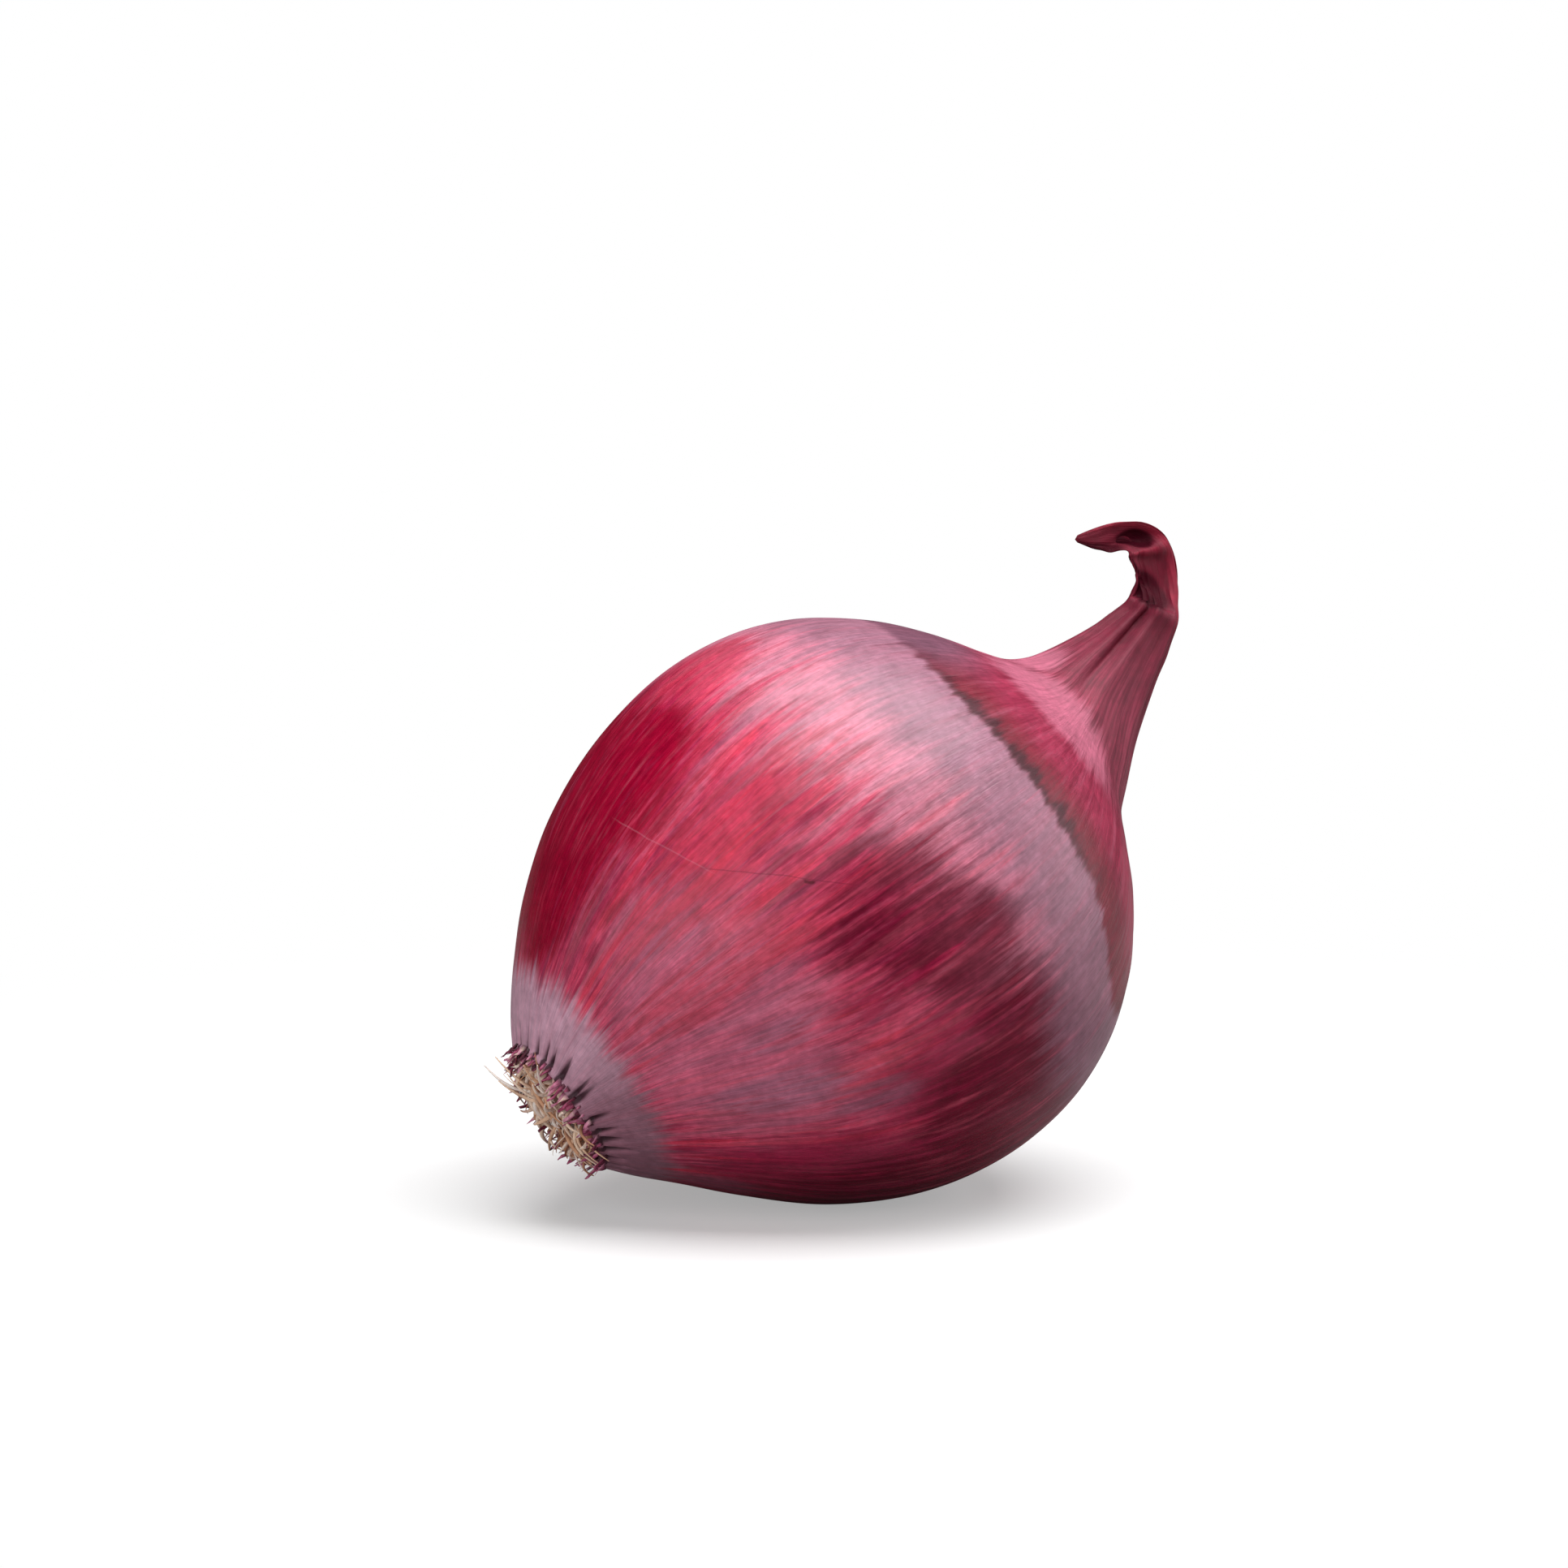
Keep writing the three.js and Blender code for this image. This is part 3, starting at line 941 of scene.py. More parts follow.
# %% Shoulder, neck and tail colours
def shoulder_colour(tree, colour, shoulder, lines):
    """The shoulder's grey band, partly painted reflection, and the painted shade past it."""
    edge = lines["edge"]
    # the grey band, partly the dry skin's bloom and partly painted reflection
    bloom_and_reflection = ragged(tree, evenly(tree, shoulder, -17, -7), edge, 1.8, 0.4)
    colour = laid(tree, colour, BLOOM_AND_REFLECTION, bloom_and_reflection, 0.8)
    past = ragged(tree, evenly(tree, shoulder, -1.5, 1.5), edge, 1.4, 0.3)
    # past the line a dark red band, the red skin with painted shade over it
    below = mixed(tree, ranged(tree, shoulder, 3.0, 9.0), SHADED_BAND, SHADED_BAND_EDGE)
    below = laid(tree, below, WINE, ranged(tree, lines["medium"], 0.55, 0.4), 0.35)
    below = laid(tree, below, DULL, attribute(tree, "dull"), 0.85)
    colour = mixed(tree, past, colour, below)
    # the ragged dark line along the hollow is painted shade
    start = calc(tree, "ADD", shoulder, evenly(tree, edge, 0.3, 0.7, -0.8, 0.8))
    reach = evenly(tree, lines["teeth"], 0.3, 0.7, 0.2, 3.6)
    ends = ranged(tree, calc(tree, "SUBTRACT", reach, shoulder), -1.0, 1.4)
    line = calc(tree, "MULTIPLY", ends, ranged(tree, start, -1.0, 0.5))
    line = calc(tree, "MULTIPLY", line, attribute(tree, "shoulder_shade"))
    return laid(tree, colour, PAINTED_SHOULDER_SHADE, line, 0.9)


def neck_colour(tree, colour, millimetres, lines):
    """The plum neck with painted highlights, then the dark tail with painted light and shade."""
    medium, fine, edge = lines["medium"], lines["fine"], lines["edge"]
    neck = ragged(tree, evenly(tree, millimetres, 85.0, 95.0), edge, 0.8, 0.4)
    streaked = mixed(tree, ranged(tree, medium, 0.36, 0.56), NECK_SHADE, NECK)
    colour = laid(tree, colour, streaked, neck, 0.9)
    # a painted highlight where the neck widens
    neck_highlight = ragged(tree, attribute(tree, "neck_highlight"), medium, 1.8, 0.5)
    colour = laid(tree, colour, NECK_HIGHLIGHT, neck_highlight, 0.75)
    dry = ragged(tree, evenly(tree, millimetres, 106.0, 122.0), fine, 1.0, 0.5)
    colour = laid(tree, colour, mixed(tree, ranged(tree, fine, 0.4, 0.6), TAIL, NECK_SHADE), dry, 0.9)
    colour = laid(tree, colour, TAIL, ranged(tree, millimetres, 120.0, 126.0), 0.8)
    # painted light along the tail's edges and crease
    colour = laid(tree, colour, RIM_LIGHT, ragged(tree, attribute(tree, "rim"), fine, 1.0, 0.4), 0.8)
    # painted shade in the tail's hollows and folds
    return laid(tree, colour, FOLD_SHADE, ragged(tree, attribute(tree, "fold_shade"), edge, 0.7, 0.35), 0.9)


# %% [markdown]
# ## Scratches
#
# Handling has left two fine scratches and a nick on the near side. They need no
# shape of their own: a plane through the scratch's two ends and the middle of the
# globe cuts the skin just where the scratch runs. The distance from that plane gives
# it its width, and the distance from its middle gives it its length.

# %% Scratches
# two ends, then width, all in mm, then colour and strength
SCRATCHES = [
    ((-31.5, -7.8, 50.0), (-25.2, -23.0, 45.1), 0.14, rgb(214, 150, 170), 0.14),
    ((-26.5, -21.0, 45.6), (-10.7, -32.9, 44.1), 0.12, rgb(96, 20, 44), 0.38),
    ((-16.9, -29.7, 44.7), (-15.6, -30.5, 44.6), 0.4, rgb(84, 0, 26), 0.85),
]
SCRATCH_WOBBLE = 4.0


def scratched_colour(tree, colour, place, wobble):
    for start, end, width, paint, strength in SCRATCHES:
        start, end = np.array(start) * MM, np.array(end) * MM
        plane = np.cross(start - GLOBE_MIDDLE, end - GLOBE_MIDDLE)
        plane = plane / np.linalg.norm(plane)
        off = vector_calc(tree, "SUBTRACT", place, tuple((start + end) / 2))
        aside = vector_calc(tree, "DOT_PRODUCT", off, tuple(plane))
        aside = calc(tree, "MULTIPLY_ADD", wobble, width * MM * SCRATCH_WOBBLE, aside)
        thin = ranged(tree, calc(tree, "ABSOLUTE", aside), 0.3 * width * MM, width * MM, 1.0, 0.0)
        half = float(np.linalg.norm(end - start)) / 2
        within = ranged(tree, vector_calc(tree, "LENGTH", off), 0.7 * half, 1.1 * half, 1.0, 0.0)
        colour = laid(tree, colour, paint, calc(tree, "MULTIPLY", thin, within), strength)
    return colour


# %% [markdown]
# ## The skin's material
#
# All layers come together here. Fine fibres stand up as bump, and break the
# highlights into the silky lines that onion skin has. Fine grain and broader blotches
# make every spot a little lighter or darker. Where the skin is deep red its shine is
# weaker and tinted, because there the pigment sits close under the surface. The
# patches of painted shade take the same weaker, tinted shine.

# %% Skin material
NOISE_LOW = 0.3
NOISE_HIGH = 0.7


def skin_tone(tree, swings):
    """How light each spot is: every noise swings it by its own share to both sides."""
    tone = 1.0
    for value, share in swings:
        swing = evenly(tree, value, NOISE_LOW, NOISE_HIGH, 1 - share, 1 + share)
        tone = calc(tree, "MULTIPLY", swing, tone)
    return tone


def skin_roughness(tree, millimetres, collar, lines):
    """Silky, smoother where it is crimson, and duller on the neck and round the roots."""
    roughness = evenly(tree, lines["fine"], NOISE_LOW, NOISE_HIGH, 0.32, 0.46)
    neck = ranged(tree, millimetres, 84.0, 104.0)
    for mask, change in ((attribute(tree, "crimson_and_shade"), -0.06), (neck, 0.22), (collar, 0.08)):
        roughness = calc(tree, "MULTIPLY_ADD", mask, change, roughness)
    return roughness


def skin_material():
    material, tree, surface = new_material("onion_skin")
    flow = attribute(tree, "flow", "Vector")
    distance = node(tree, "ShaderNodeSeparateXYZ", {0: flow}).outputs[2]
    millimetres = calc(tree, "MULTIPLY", distance, ARC_UNIT)
    shoulder = attribute(tree, "shoulder")
    lines = {name: streaks(tree, flow, *numbers) for name, numbers in STREAK_KINDS.items()}

    colour = ground_colour(tree, shoulder, lines)
    colour = patched_colour(tree, colour, lines)
    collar = ragged(tree, evenly(tree, millimetres, 5.0, 12.0, 1.0, 0.0), lines["edge"], 1.2, 0.3)
    # the collar, darker on its lower near side with painted shade
    colour = laid(tree, colour, mixed(tree, attribute(tree, "ash_and_shade"), COLLAR, ASH_AND_SHADE), collar, 0.9)
    colour = shoulder_colour(tree, colour, shoulder, lines)
    colour = neck_colour(tree, colour, millimetres, lines)

    place = own_place(tree)
    grain = noise(tree, place, 1000.0, 4.0)
    blotch = noise(tree, place, 240.0, 4.0)
    swings = [(lines["fine"], 0.12), (lines["fibre"], 0.1), (grain, 0.13), (blotch, 0.12)]
    colour = toned(tree, colour, skin_tone(tree, swings))
    colour = scratched_colour(tree, colour, place, calc(tree, "SUBTRACT", blotch, 0.5))
    # the cracks round the root rim are darkened with painted shade
    split = ranged(tree, attribute(tree, "crack"), 0.12, 0.6)
    colour = laid(tree, colour, CRACK_SHADE, split, 0.92)

    height = calc(tree, "MULTIPLY", lines["fibre"], 0.4)
    height = calc(tree, "MULTIPLY_ADD", lines["fine"], 0.6, height)
    bump = node(tree, "ShaderNodeBump", {"Strength": 0.5, "Distance": 0.00025, "Height": height})
    # deep red skin and the patches of painted shade shine less
    deep = attribute(tree, "crimson_and_shade")
    for name in ("maroon_and_shade", "fold_shade"):
        deep = calc(tree, "MAXIMUM", deep, attribute(tree, name))
    feed(tree, surface, Base_Color=colour, Normal=bump.outputs[0],
         Roughness=skin_roughness(tree, millimetres, collar, lines),
         Specular_IOR_Level=ranged(tree, deep, 0.2, 0.9, 0.3, 0.14),
         Specular_Tint=mixed(tree, deep, WHITE, DEEP_GLOSS),
         Coat_Weight=0.04, Coat_Roughness=0.3)
    return material


bulb_skin.data.materials.append(skin_material())
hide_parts("bulb")
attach(bulb_skin, "root")
print("skin material has", len(bulb_skin.data.materials[0].node_tree.nodes), "nodes")

# %% [markdown]
# ## The root end, in its own axes
#
# What grows on the root end is easiest to make lying on a flat floor: X points up
# the onion, Y to the far side and Z straight out of the root end. One matrix then
# stands it on the onion. The pieces repeat with small differences, so each is made
# by a Geometry Nodes tree. The tree's named inputs hold the sizes, its seed is
# fixed, and the result is turned into a plain mesh at once.

# %% Root end axes and growing
ROOT_END_ALONG = -41.4


def root_end_matrix():
    origin = placed(ROOT_END_ALONG, GLOBE[0][2], 0.0)
    up = placed(ROOT_END_ALONG, GLOBE[0][2] + 1, 0.0) - origin
    out = placed(ROOT_END_ALONG - 1, GLOBE[0][2], 0.0) - origin
    return turned_to(up / MM, [0, 1, 0], out / MM, origin)


def drawn(tree, low, high, seed, extra):
    """A random number between low and high for each point, with a seed of its own."""
    own_seed = calc(tree, "ADD", seed, extra)
    made = node(tree, "FunctionNodeRandomValue", {2: low, 3: high, 8: own_seed}, data_type="FLOAT")
    return made.outputs[1]


def stored(tree, geometry, name, value, kind="FLOAT"):
    made = node(tree, "GeometryNodeStoreNamedAttribute",
                {"Geometry": geometry, "Name": name, "Value": value}, data_type=kind)
    return made.outputs[0]


def named(tree, name):
    made = node(tree, "GeometryNodeInputNamedAttribute", {"Name": name}, data_type="FLOAT")
    return made.outputs["Attribute"]


def moved(tree, geometry, **where):
    inputs = {"Geometry": geometry, **{key.title(): value for key, value in where.items()}}
    return node(tree, "GeometryNodeSetPosition", inputs).outputs[0]


def finished(tree, geometry, material, result):
    """The end of each tree: plain faces, smooth, with their material."""
    real = node(tree, "GeometryNodeRealizeInstances", {0: geometry}).outputs[0]
    smooth_faces = node(tree, "GeometryNodeSetShadeSmooth", {0: real}).outputs[0]
    coloured = node(tree, "GeometryNodeSetMaterial", {"Geometry": smooth_faces, "Material": material})
    tree.links.new(coloured.outputs[0], result.inputs["Geometry"])


def grow(name, tree, values):
    """Runs a tree with the given values, and keeps its result as a plain mesh."""
    holder = mesh_object(name, [], [])
    modifier = holder.modifiers.new("grow", "NODES")
    modifier.node_group = tree
    for item in tree.interface.items_tree:
        if item.item_type == "SOCKET" and item.in_out == "INPUT" and item.name in values:
            modifier[item.identifier] = values[item.name]
    graph = bpy.context.evaluated_depsgraph_get()
    mesh = bpy.data.meshes.new_from_object(holder.evaluated_get(graph))
    holder.modifiers.clear()
    mesh.transform(root_end_matrix())
    holder.data = mesh
    mesh.name = name
    print(name, "has", sum(len(p.vertices) - 2 for p in mesh.polygons), "triangles")
    return holder


# %% [markdown]
# ## Torn ends of the scales
#
# Round the root plate the dry scales end in torn points and stubs, a few
# millimetres long, two and three deep. A tree spreads points round a ring and puts
# a flattened cone on each, either pointed or blunt. Some noise then moves the
# points a little, the tips most, so that no two tears match. The stubs of cut roots
# that crown the plate's edge are made by the same tree, with other sizes.

# %% Ring of torn pieces
TORN_SIDES = 7
TORN_STEPS = 4
TORN_TIPS = (0.06, 0.32)
TORN_WEAR = 0.0016
TORN_INPUTS = [("Count", "INT", 30), ("Radius", "FLOAT", 0.0085), ("Width", "FLOAT", 0.0008),
               ("Thickness", "FLOAT", 0.0003), ("Shortest", "FLOAT", 0.001),
               ("Longest", "FLOAT", 0.003), ("Lean", "FLOAT", 0.3), ("Curl", "FLOAT", 0.2),
               ("Seed", "INT", 1)]


def typed(inputs):
    kinds = {"INT": "NodeSocketInt", "FLOAT": "NodeSocketFloat"}
    sockets = [(name, kinds[kind], value) for name, kind, value in inputs]
    return sockets + [("Material", "NodeSocketMaterial", None)]


def torn_piece(tree, blunt, curl):
    """A cone of unit size, flat later, whose tip curls over along X."""
    cone = node(tree, "GeometryNodeMeshCone",
                {"Vertices": TORN_SIDES, "Side Segments": TORN_STEPS, "Radius Top": blunt,
                 "Radius Bottom": 1.0, "Depth": 1.0}).outputs["Mesh"]
    place = node(tree, "GeometryNodeInputPosition").outputs[0]
    height = node(tree, "ShaderNodeSeparateXYZ", {0: place}).outputs[2]
    marked = stored(tree, cone, "grown", height)
    bow = calc(tree, "MULTIPLY", calc(tree, "MULTIPLY", height, height), curl)
    return moved(tree, marked, offset=xyz(tree, bow))

# %% [markdown]
# The tree first places the points, then makes the two kinds of piece, and then puts
# one of them on each point. Every property that varies draws its own random number,
# because one number for all of them would make long pieces lean alike.

# %% The tree of the torn rings
def torn_ring_tree():
    tree, given, result = new_group("torn_ring", "GeometryNodeTree", typed(TORN_INPUTS),
                                    [("Geometry", "NodeSocketGeometry")])
    seed, count = given["Seed"], given["Count"]
    points = node(tree, "GeometryNodeMeshLine", {"Count": count}).outputs[0]
    index = node(tree, "GeometryNodeInputIndex").outputs[0]
    place = calc(tree, "ADD", index, drawn(tree, -0.4, 0.4, seed, 1))
    angle = calc(tree, "DIVIDE", calc(tree, "MULTIPLY", place, TURN), count)
    radius = calc(tree, "MULTIPLY", given["Radius"], drawn(tree, 0.93, 1.05, seed, 2))
    x = calc(tree, "MULTIPLY", radius, calc(tree, "COSINE", angle))
    y = calc(tree, "MULTIPLY", radius, calc(tree, "SINE", angle))
    points = moved(tree, points, position=xyz(tree, x, y))
    points = stored(tree, points, "tint", drawn(tree, 0.0, 1.0, seed, 3))

    kinds = node(tree, "GeometryNodeGeometryToInstance")
    for blunt in TORN_TIPS:
        piece = torn_piece(tree, blunt, given["Curl"])
        tree.links.new(piece, kinds.inputs[0])
    lean = calc(tree, "ADD", given["Lean"], drawn(tree, -0.35, 0.35, seed, 4))
    twist = calc(tree, "ADD", angle, drawn(tree, -0.4, 0.4, seed, 5))
    length = drawn(tree, given["Shortest"], given["Longest"], seed, 6)
    width = calc(tree, "MULTIPLY", given["Width"], drawn(tree, 0.6, 1.4, seed, 7))
    pick = node(tree, "FunctionNodeRandomValue", {4: 0, 5: 1, 8: seed}, data_type="INT").outputs[2]
    pieces = node(tree, "GeometryNodeInstanceOnPoints",
                  {"Points": points, "Instance": kinds.outputs[0], "Pick Instance": True,
                   "Instance Index": pick, "Rotation": xyz(tree, 0.0, lean, twist),
                   "Scale": xyz(tree, given["Thickness"], width, length)}).outputs[0]
    real = node(tree, "GeometryNodeRealizeInstances", {0: pieces}).outputs[0]
    amount = calc(tree, "MULTIPLY", named(tree, "grown"), TORN_WEAR)
    worn = vector_calc(tree, "SCALE", shaking(tree, 900.0, 2.0), scale=amount)
    finished(tree, moved(tree, real, offset=worn), given["Material"], result)
    return tree


TORN_RING = torn_ring_tree()
print("torn ring tree:", len(TORN_RING.nodes), "nodes")

# %% [markdown]
# ## The finish of the torn ends
#
# Fresh tears show the pink-violet inside of the scale, old ones are dark maroon,
# and a few are bleached to straw. Each piece has its own random `tint`, which a
# colour ramp turns into one of those. `grown` runs from 0 at a piece's foot to 1
# at its tip, and darkens the foot, where little light gets in.

# %% Torn scale material
def ramp(tree, factor, stops):
    made = node(tree, "ShaderNodeValToRGB", {0: factor})
    elements = made.color_ramp.elements
    elements[0].position, elements[0].color = stops[0]
    elements[1].position, elements[1].color = stops[-1]
    for position, colour in stops[1:-1]:
        elements.new(position).color = colour
    return made.outputs[0]


def torn_material():
    material, tree, surface = new_material("torn_scale")
    grain = noise(tree, own_place(tree), 1400.0, 3.0)
    tint = calc(tree, "ADD", attribute(tree, "tint"), ranged(tree, grain, 0.3, 0.7, -0.15, 0.15))
    colour = ramp(tree, tint, [(0.0, rgb(74, 14, 34)), (0.3, rgb(138, 42, 78)),
                               (0.55, rgb(188, 86, 126)), (0.8, rgb(222, 150, 176)),
                               (1.0, rgb(236, 198, 186))])
    foot = ranged(tree, attribute(tree, "grown"), 0.0, 0.55, 0.8, 0.0)
    colour = mixed(tree, foot, colour, rgb(44, 8, 20))
    bump = node(tree, "ShaderNodeBump", {"Strength": 0.5, "Distance": 0.0001, "Height": grain})
    feed(tree, surface, Base_Color=colour, Roughness=0.55, Normal=bump.outputs[0])
    return material


TORN_SCALE = torn_material()
# sizes in mm, Lean in radians and Curl in thicknesses, and under 0 both point inwards
TORN_RINGS = {
    "torn_scales_outer": dict(Count=84, Radius=8.9, Width=0.36, Thickness=0.22, Shortest=0.7,
                              Longest=2.3, Lean=-0.1, Curl=0.6, Seed=4),
    "torn_scales_inner": dict(Count=76, Radius=8.2, Width=0.42, Thickness=0.24, Shortest=1.0,
                              Longest=2.9, Lean=-0.3, Curl=-0.5, Seed=9),
}


def in_metres(sizes, plain=("Count", "Lean", "Curl", "Seed", "Droop")):
    return {key: value if key in plain else value * MM for key, value in sizes.items()}


for name, sizes in TORN_RINGS.items():
    piece = grow(name, TORN_RING, in_metres(sizes) | {"Material": TORN_SCALE})
    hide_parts("bulb")
    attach(piece, "root")

# %% [markdown]
# ## The root plate and its finish
#
# The plate is the short, corky stem that the roots grow from. It is a low dome with
# a lumpy face, so it is a tube of rings like the skin, with the rings' heights
# stirred by a few waves. Dry root is straw-coloured with darker stains. The feet of
# the roots and the middle of the plate are darker, partly brown and partly painted
# shade where the roots crowd together. One material does plate, stubs and roots, and
# reads the same two attributes.

# %% Root plate
PLATE_RADIUS = 7.4
PLATE_PROFILE = [(-1.6, 0.92), (-0.6, 1.0), (-0.2, 0.97), (0.1, 0.86), (0.25, 0.7),
                 (0.35, 0.52), (0.42, 0.34), (0.46, 0.16)]
PLATE_SIDES = 96


def dried_root_material():
    material, tree, surface = new_material("dried_root")
    grain = noise(tree, own_place(tree), 1100.0, 4.0)
    stain = noise(tree, own_place(tree), 330.0, 2.0)
    grown, tint = attribute(tree, "grown"), attribute(tree, "tint")
    colour = ramp(tree, tint, [(0.0, rgb(140, 84, 64)), (0.25, rgb(226, 172, 134)),
                               (0.5, rgb(252, 220, 192)), (1.0, rgb(255, 244, 236))])
    colour = mixed(tree, ranged(tree, stain, 0.52, 0.68, 0.0, 0.5), colour, rgb(170, 100, 82))
    # each root's foot and the plate's middle are darker, partly brown and partly painted shade where the
    # roots crowd together
    foot = ranged(tree, grown, 0.0, 0.22, 0.85, 0.0)
    colour = mixed(tree, foot, colour, rgb(92, 44, 40))
    colour = mixed(tree, ranged(tree, grain, 0.56, 0.74, 0.0, 0.4), colour, rgb(120, 74, 52))
    bump = node(tree, "ShaderNodeBump", {"Strength": 0.6, "Distance": 0.00012, "Height": grain})
    feed(tree, surface, Base_Color=colour, Roughness=0.7, Normal=bump.outputs[0])
    return material


def plate_mesh(material):
    around = np.linspace(0, TURN, PLATE_SIDES, endpoint=False)
    rings = []
    for height, share in PLATE_PROFILE:
        lump = 0.22 * np.sin(7 * around + 9 * share) * np.sin(5 * around - 14 * share)
        radius = PLATE_RADIUS * share * (1 + 0.03 * np.sin(13 * around + 6 * share))
        level = height + lump * (1 if share < 0.95 else 0)
        rings.append(np.stack([radius * np.cos(around), radius * np.sin(around), level], -1))
    rings = np.array(rings) * MM
    points, faces = closed_tube(rings, [0, 0, PLATE_PROFILE[0][0] * MM], [0, 0, 0.5 * MM])
    plate = mesh_object("root_plate", points, faces)
    radius = np.hypot(points[:, 0], points[:, 1]) / MM / PLATE_RADIUS
    # grown gives the plate's middle the painted shade between the roots, and its edge none
    put_attribute(plate.data, "grown", smooth(0.4, 1.1, radius) * 0.35)
    put_attribute(plate.data, "tint", np.full(len(points), 0.35))
    plate.data.transform(root_end_matrix())
    plate.data.materials.append(material)
    return plate


def onto_root_tuft(piece):
    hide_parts("root_tuft")
    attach(piece, "root")


DRIED_ROOT = dried_root_material()
onto_root_tuft(plate_mesh(DRIED_ROOT))
STUBS = dict(Count=34, Radius=6.7, Width=0.75, Thickness=0.5, Shortest=1.2, Longest=2.1,
             Lean=0.25, Curl=0.2, Seed=21)
onto_root_tuft(grow("root_stubs", TORN_RING, in_metres(STUBS) | {"Material": DRIED_ROOT}))

# %% [markdown]
# ## The roots
#
# Roots leave the plate in a spiral like the seeds of a sunflower: each next one is a
# golden angle further round. Each is a curve that rises from the plate, then bends
# over and hangs down the onion's root end, and about one in six stands up instead.
# Curve to Mesh gives them their thickness, and a taper draws out the tips. One tree
# grows three lots: the hanging roots, a few thicker ones that point outwards, and
# fine hairs between them.

# %% Roots
GOLDEN_ANGLE = math.pi * (3 - math.sqrt(5))
ROOT_STEPS = 10
ROOT_SIDES = 6
STANDING_SHARE = 0.16
ROOT_INPUTS = [("Count", "INT", 60), ("Radius", "FLOAT", 0.007), ("Thickness", "FLOAT", 0.0004),
               ("Lowest", "FLOAT", 0.001), ("Highest", "FLOAT", 0.003),
               ("Shortest", "FLOAT", 0.002), ("Longest", "FLOAT", 0.006),
               ("Droop", "FLOAT", 0.6), ("Wiggle", "FLOAT", 0.0012), ("Seed", "INT", 1)]


def root_curves(tree, given):
    """Straight curves that stand on the plate, with the random numbers of each stored.

    A root that starts high on the plate has room to hang further than a low one.
    """
    seed, count = given["Seed"], given["Count"]
    index = node(tree, "GeometryNodeInputIndex").outputs[0]
    share = calc(tree, "DIVIDE", calc(tree, "ADD", index, 0.5), count)
    radius = calc(tree, "MULTIPLY", given["Radius"], calc(tree, "SQRT", share))
    angle = calc(tree, "ADD", calc(tree, "MULTIPLY", index, GOLDEN_ANGLE),
                 drawn(tree, -0.3, 0.3, seed, 1))
    across = calc(tree, "COSINE", angle)
    aside = calc(tree, "SINE", angle)
    points = node(tree, "GeometryNodeMeshLine", {"Count": count}).outputs[0]
    foot = xyz(tree, calc(tree, "MULTIPLY", radius, across), calc(tree, "MULTIPLY", radius, aside))
    points = moved(tree, points, position=foot)
    hangs = calc(tree, "MULTIPLY", given["Droop"],
                 calc(tree, "GREATER_THAN", drawn(tree, 0.0, 1.0, seed, 2), STANDING_SHARE))
    stays = calc(tree, "SUBTRACT", 1.0, hangs)
    upper = calc(tree, "DIVIDE", calc(tree, "MULTIPLY", radius, across), given["Radius"])
    room = evenly(tree, upper, -1.0, 1.0, 0.3, 1.2)
    numbers = {
        "tint": drawn(tree, 0.0, 1.0, seed, 3),
        "rise": drawn(tree, given["Lowest"], given["Highest"], seed, 4),
        "sag": calc(tree, "MULTIPLY", calc(tree, "MAXIMUM", hangs, 0.0), given["Lowest"]),
        "reach": calc(tree, "MULTIPLY", room,
                      drawn(tree, given["Shortest"], given["Longest"], seed, 5)),
        "bear_x": calc(tree, "SUBTRACT", calc(tree, "MULTIPLY", across, stays), hangs),
        "bear_y": calc(tree, "ADD", calc(tree, "MULTIPLY", aside, stays),
                       drawn(tree, -0.45, 0.45, seed, 6)),
        "girth": drawn(tree, 0.55, 1.15, seed, 7),
    }
    for name, value in numbers.items():
        points = stored(tree, points, name, value)
    line = node(tree, "GeometryNodeCurvePrimitiveLine", {"End": (0, 0, MM)}).outputs[0]
    line = node(tree, "GeometryNodeResampleCurve", {"Curve": line, "Count": ROOT_STEPS}).outputs[0]
    standing = node(tree, "GeometryNodeInstanceOnPoints", {"Points": points, "Instance": line})
    return node(tree, "GeometryNodeRealizeInstances", {0: standing.outputs[0]}).outputs[0]

# %% [markdown]
# The tree bends the straight curves. A root's height rises fast and then levels off,
# and its reach grows slowly at first, so it stands up before it leans out. Noise makes
# each root crooked, the more so towards its tip.

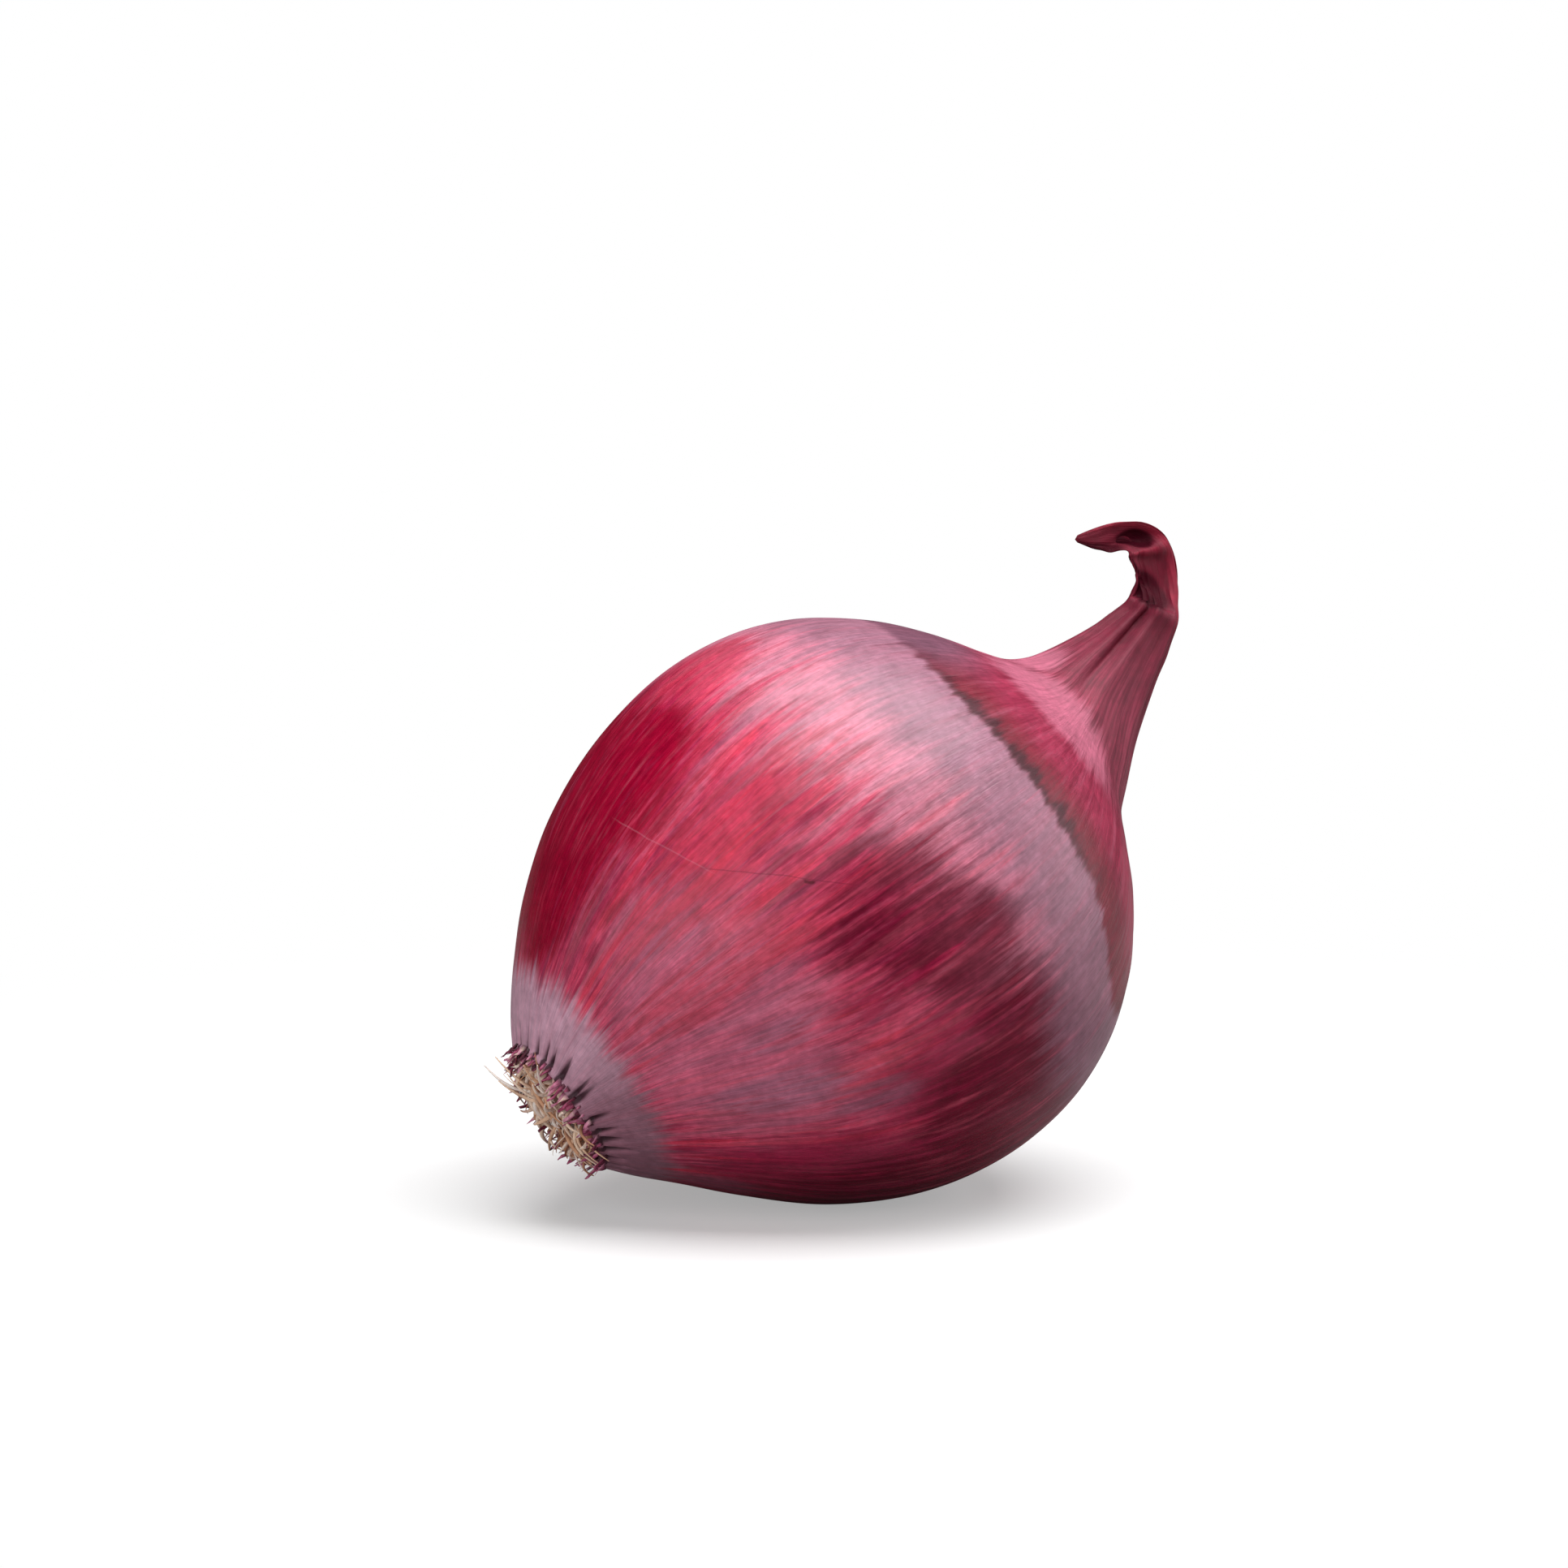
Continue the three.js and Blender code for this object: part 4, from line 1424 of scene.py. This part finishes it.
# %% Bent and thickened roots
def roots_tree():
    tree, given, result = new_group("dried_roots", "GeometryNodeTree", typed(ROOT_INPUTS),
                                    [("Geometry", "NodeSocketGeometry")])
    curves = root_curves(tree, given)
    grown = node(tree, "GeometryNodeSplineParameter").outputs["Factor"]
    curves = stored(tree, curves, "grown", grown)
    left = calc(tree, "SUBTRACT", 1.0, grown)
    height = calc(tree, "MULTIPLY", named(tree, "rise"),
                  calc(tree, "SUBTRACT", 1.0, calc(tree, "POWER", left, 2.4)))
    height = calc(tree, "SUBTRACT", height, calc(tree, "MULTIPLY", named(tree, "sag"),
                                                 calc(tree, "MULTIPLY", grown, grown)))
    height = calc(tree, "SUBTRACT", height, calc(tree, "MULTIPLY", grown, MM))
    away = calc(tree, "MULTIPLY", named(tree, "reach"), calc(tree, "POWER", grown, 1.5))
    bend = xyz(tree, calc(tree, "MULTIPLY", named(tree, "bear_x"), away),
               calc(tree, "MULTIPLY", named(tree, "bear_y"), away), height)
    wiggle = calc(tree, "MULTIPLY", given["Wiggle"], grown)
    shaken = vector_calc(tree, "SCALE", shaking(tree, 420.0, 1.0), scale=wiggle)
    curves = moved(tree, curves, offset=vector_calc(tree, "ADD", bend, shaken))
    taper = calc(tree, "SUBTRACT", 1.0, calc(tree, "MULTIPLY", calc(tree, "POWER", grown, 2.0), 0.7))
    girth = calc(tree, "MULTIPLY", calc(tree, "MULTIPLY", given["Thickness"], named(tree, "girth")), taper)
    profile = node(tree, "GeometryNodeCurvePrimitiveCircle",
                   {"Resolution": ROOT_SIDES, "Radius": 1.0}).outputs[0]
    tubes = node(tree, "GeometryNodeCurveToMesh",
                 {"Curve": curves, "Profile Curve": profile, "Scale": girth,
                  "Fill Caps": True}).outputs[0]
    finished(tree, tubes, given["Material"], result)
    return tree


DRIED_ROOTS = roots_tree()
# sizes in mm; a Droop over 0 lets the roots hang, and one under 0 turns them up and out
ROOTS = {
    "dried_roots": dict(Count=72, Radius=7.0, Thickness=0.3, Lowest=1.5, Highest=3.0,
                        Shortest=3.0, Longest=9.5, Droop=0.86, Wiggle=1.8, Seed=5),
    "standing_roots": dict(Count=7, Radius=5.6, Thickness=0.34, Lowest=2.6, Highest=3.4,
                           Shortest=1.8, Longest=4.4, Droop=-0.4, Wiggle=1.8, Seed=8),
    "root_hairs": dict(Count=40, Radius=6.6, Thickness=0.12, Lowest=1.2, Highest=3.0,
                       Shortest=1.6, Longest=4.6, Droop=0.7, Wiggle=2.2, Seed=11),
}
for name, sizes in ROOTS.items():
    onto_root_tuft(grow(name, DRIED_ROOTS, in_metres(sizes) | {"Material": DRIED_ROOT}))

# %% [markdown]
# ## Floor, light and surroundings
#
# The photograph has a plain white ground and soft light. Here a wide box overhead
# gives the highlight on top, a weaker one at the right lights the neck, a large one
# in front fills the near side, and a small low one at the left lifts the root end.
# The floor shows white to the camera, but gives back less light than a white floor
# would, as the underside of the onion is deep in shade there.

# %% Floor
FLOOR_HALF = 4.0
FLOOR_AS_LIT = (0.34, 0.33, 0.33, 1)
FLOOR_AS_SEEN = (0.93, 0.93, 0.93, 1)


def floor_material():
    material = bpy.data.materials.new("pale_floor")
    material.use_nodes = True
    tree = material.node_tree
    tree.nodes.clear()
    out = node(tree, "ShaderNodeOutputMaterial")
    seen = node(tree, "ShaderNodeLightPath").outputs["Is Camera Ray"]
    albedo = mixed(tree, seen, FLOOR_AS_LIT, FLOOR_AS_SEEN)
    matt = node(tree, "ShaderNodeBsdfDiffuse", {"Color": albedo})
    far = vector_calc(tree, "LENGTH", own_place(tree))
    fade = calc(tree, "MULTIPLY", ranged(tree, far, 0.04, 0.2, 0.35, 1.0), seen)
    white = node(tree, "ShaderNodeEmission", {"Color": (1, 1, 1, 1), "Strength": 1.0})
    both = node(tree, "ShaderNodeMixShader", {0: fade, 1: matt.outputs[0], 2: white.outputs[0]})
    tree.links.new(both.outputs[0], out.inputs[0])
    return material


floor = mesh_object("floor", [(-FLOOR_HALF, -FLOOR_HALF, 0), (FLOOR_HALF, -FLOOR_HALF, 0),
                              (FLOOR_HALF, FLOOR_HALF, 0), (-FLOOR_HALF, FLOOR_HALF, 0)],
                    [(0, 1, 2, 3)])
floor.data.materials.append(floor_material())

# %% [markdown]
# The lights are rectangles, as a studio's soft boxes are. Radiance is how bright the
# face of a box is, whatever its size, so that is what each one prints.

# %% Lights and surroundings
def soft_box(name, to_right, to_back, height, wide, tall, watts):
    """A light that faces the globe. Its place is told as the viewer sees it."""
    away = np.array([-camera_back[0], -camera_back[1], 0]) / np.hypot(*camera_back[:2])
    place = GLOBE_MIDDLE + camera_right * to_right + away * to_back + np.array([0, 0, height])
    back = (place - GLOBE_MIDDLE) / np.linalg.norm(place - GLOBE_MIDDLE)
    # a box that hangs nearly overhead can't take its right from the vertical
    right = np.cross(away, back) if abs(back[2]) > 0.9 else np.cross([0, 0, 1], back)
    right = right / np.linalg.norm(right)
    data = bpy.data.lights.new(name, "AREA")
    data.shape = "RECTANGLE"
    data.size, data.size_y, data.energy = wide, tall, watts
    light = bpy.data.objects.new(name, data)
    light.matrix_world = turned_to(right, np.cross(back, right), back, place)
    bpy.context.scene.collection.objects.link(light)
    print(name, "radiance", round(watts / (math.pi * wide * tall), 2))


# name, to the right, to the back, up, width and height in metres, then watts
SOFT_BOXES = [
    ("overhead_box", 0.08, -0.02, 0.42, 0.52, 0.44, 3.8),
    ("right_box", 0.48, 0.08, 0.14, 0.36, 0.40, 0.9),
    ("front_fill", -0.32, -0.66, 0.18, 1.00, 0.90, 3.4),
    ("low_left_fill", -0.34, -0.24, 0.05, 0.30, 0.14, 0.15),
]
for numbers in SOFT_BOXES:
    soft_box(*numbers)


def studio_world():
    """White where the camera looks past the floor, and nearly dark for the onion."""
    world = bpy.data.worlds.new("studio")
    world.use_nodes = True
    sky = world.node_tree
    sky.nodes.clear()
    seen = node(sky, "ShaderNodeLightPath").outputs["Is Camera Ray"]
    dim = node(sky, "ShaderNodeBackground", {"Color": (0.02, 0.02, 0.02, 1)})
    bright = node(sky, "ShaderNodeBackground", {"Color": (1, 1, 1, 1)})
    both = node(sky, "ShaderNodeMixShader", {0: seen, 1: dim.outputs[0], 2: bright.outputs[0]})
    sky.links.new(both.outputs[0], node(sky, "ShaderNodeOutputWorld").inputs[0])
    return world


bpy.context.scene.world = studio_world()
bpy.context.scene.view_settings.view_transform = "Standard"
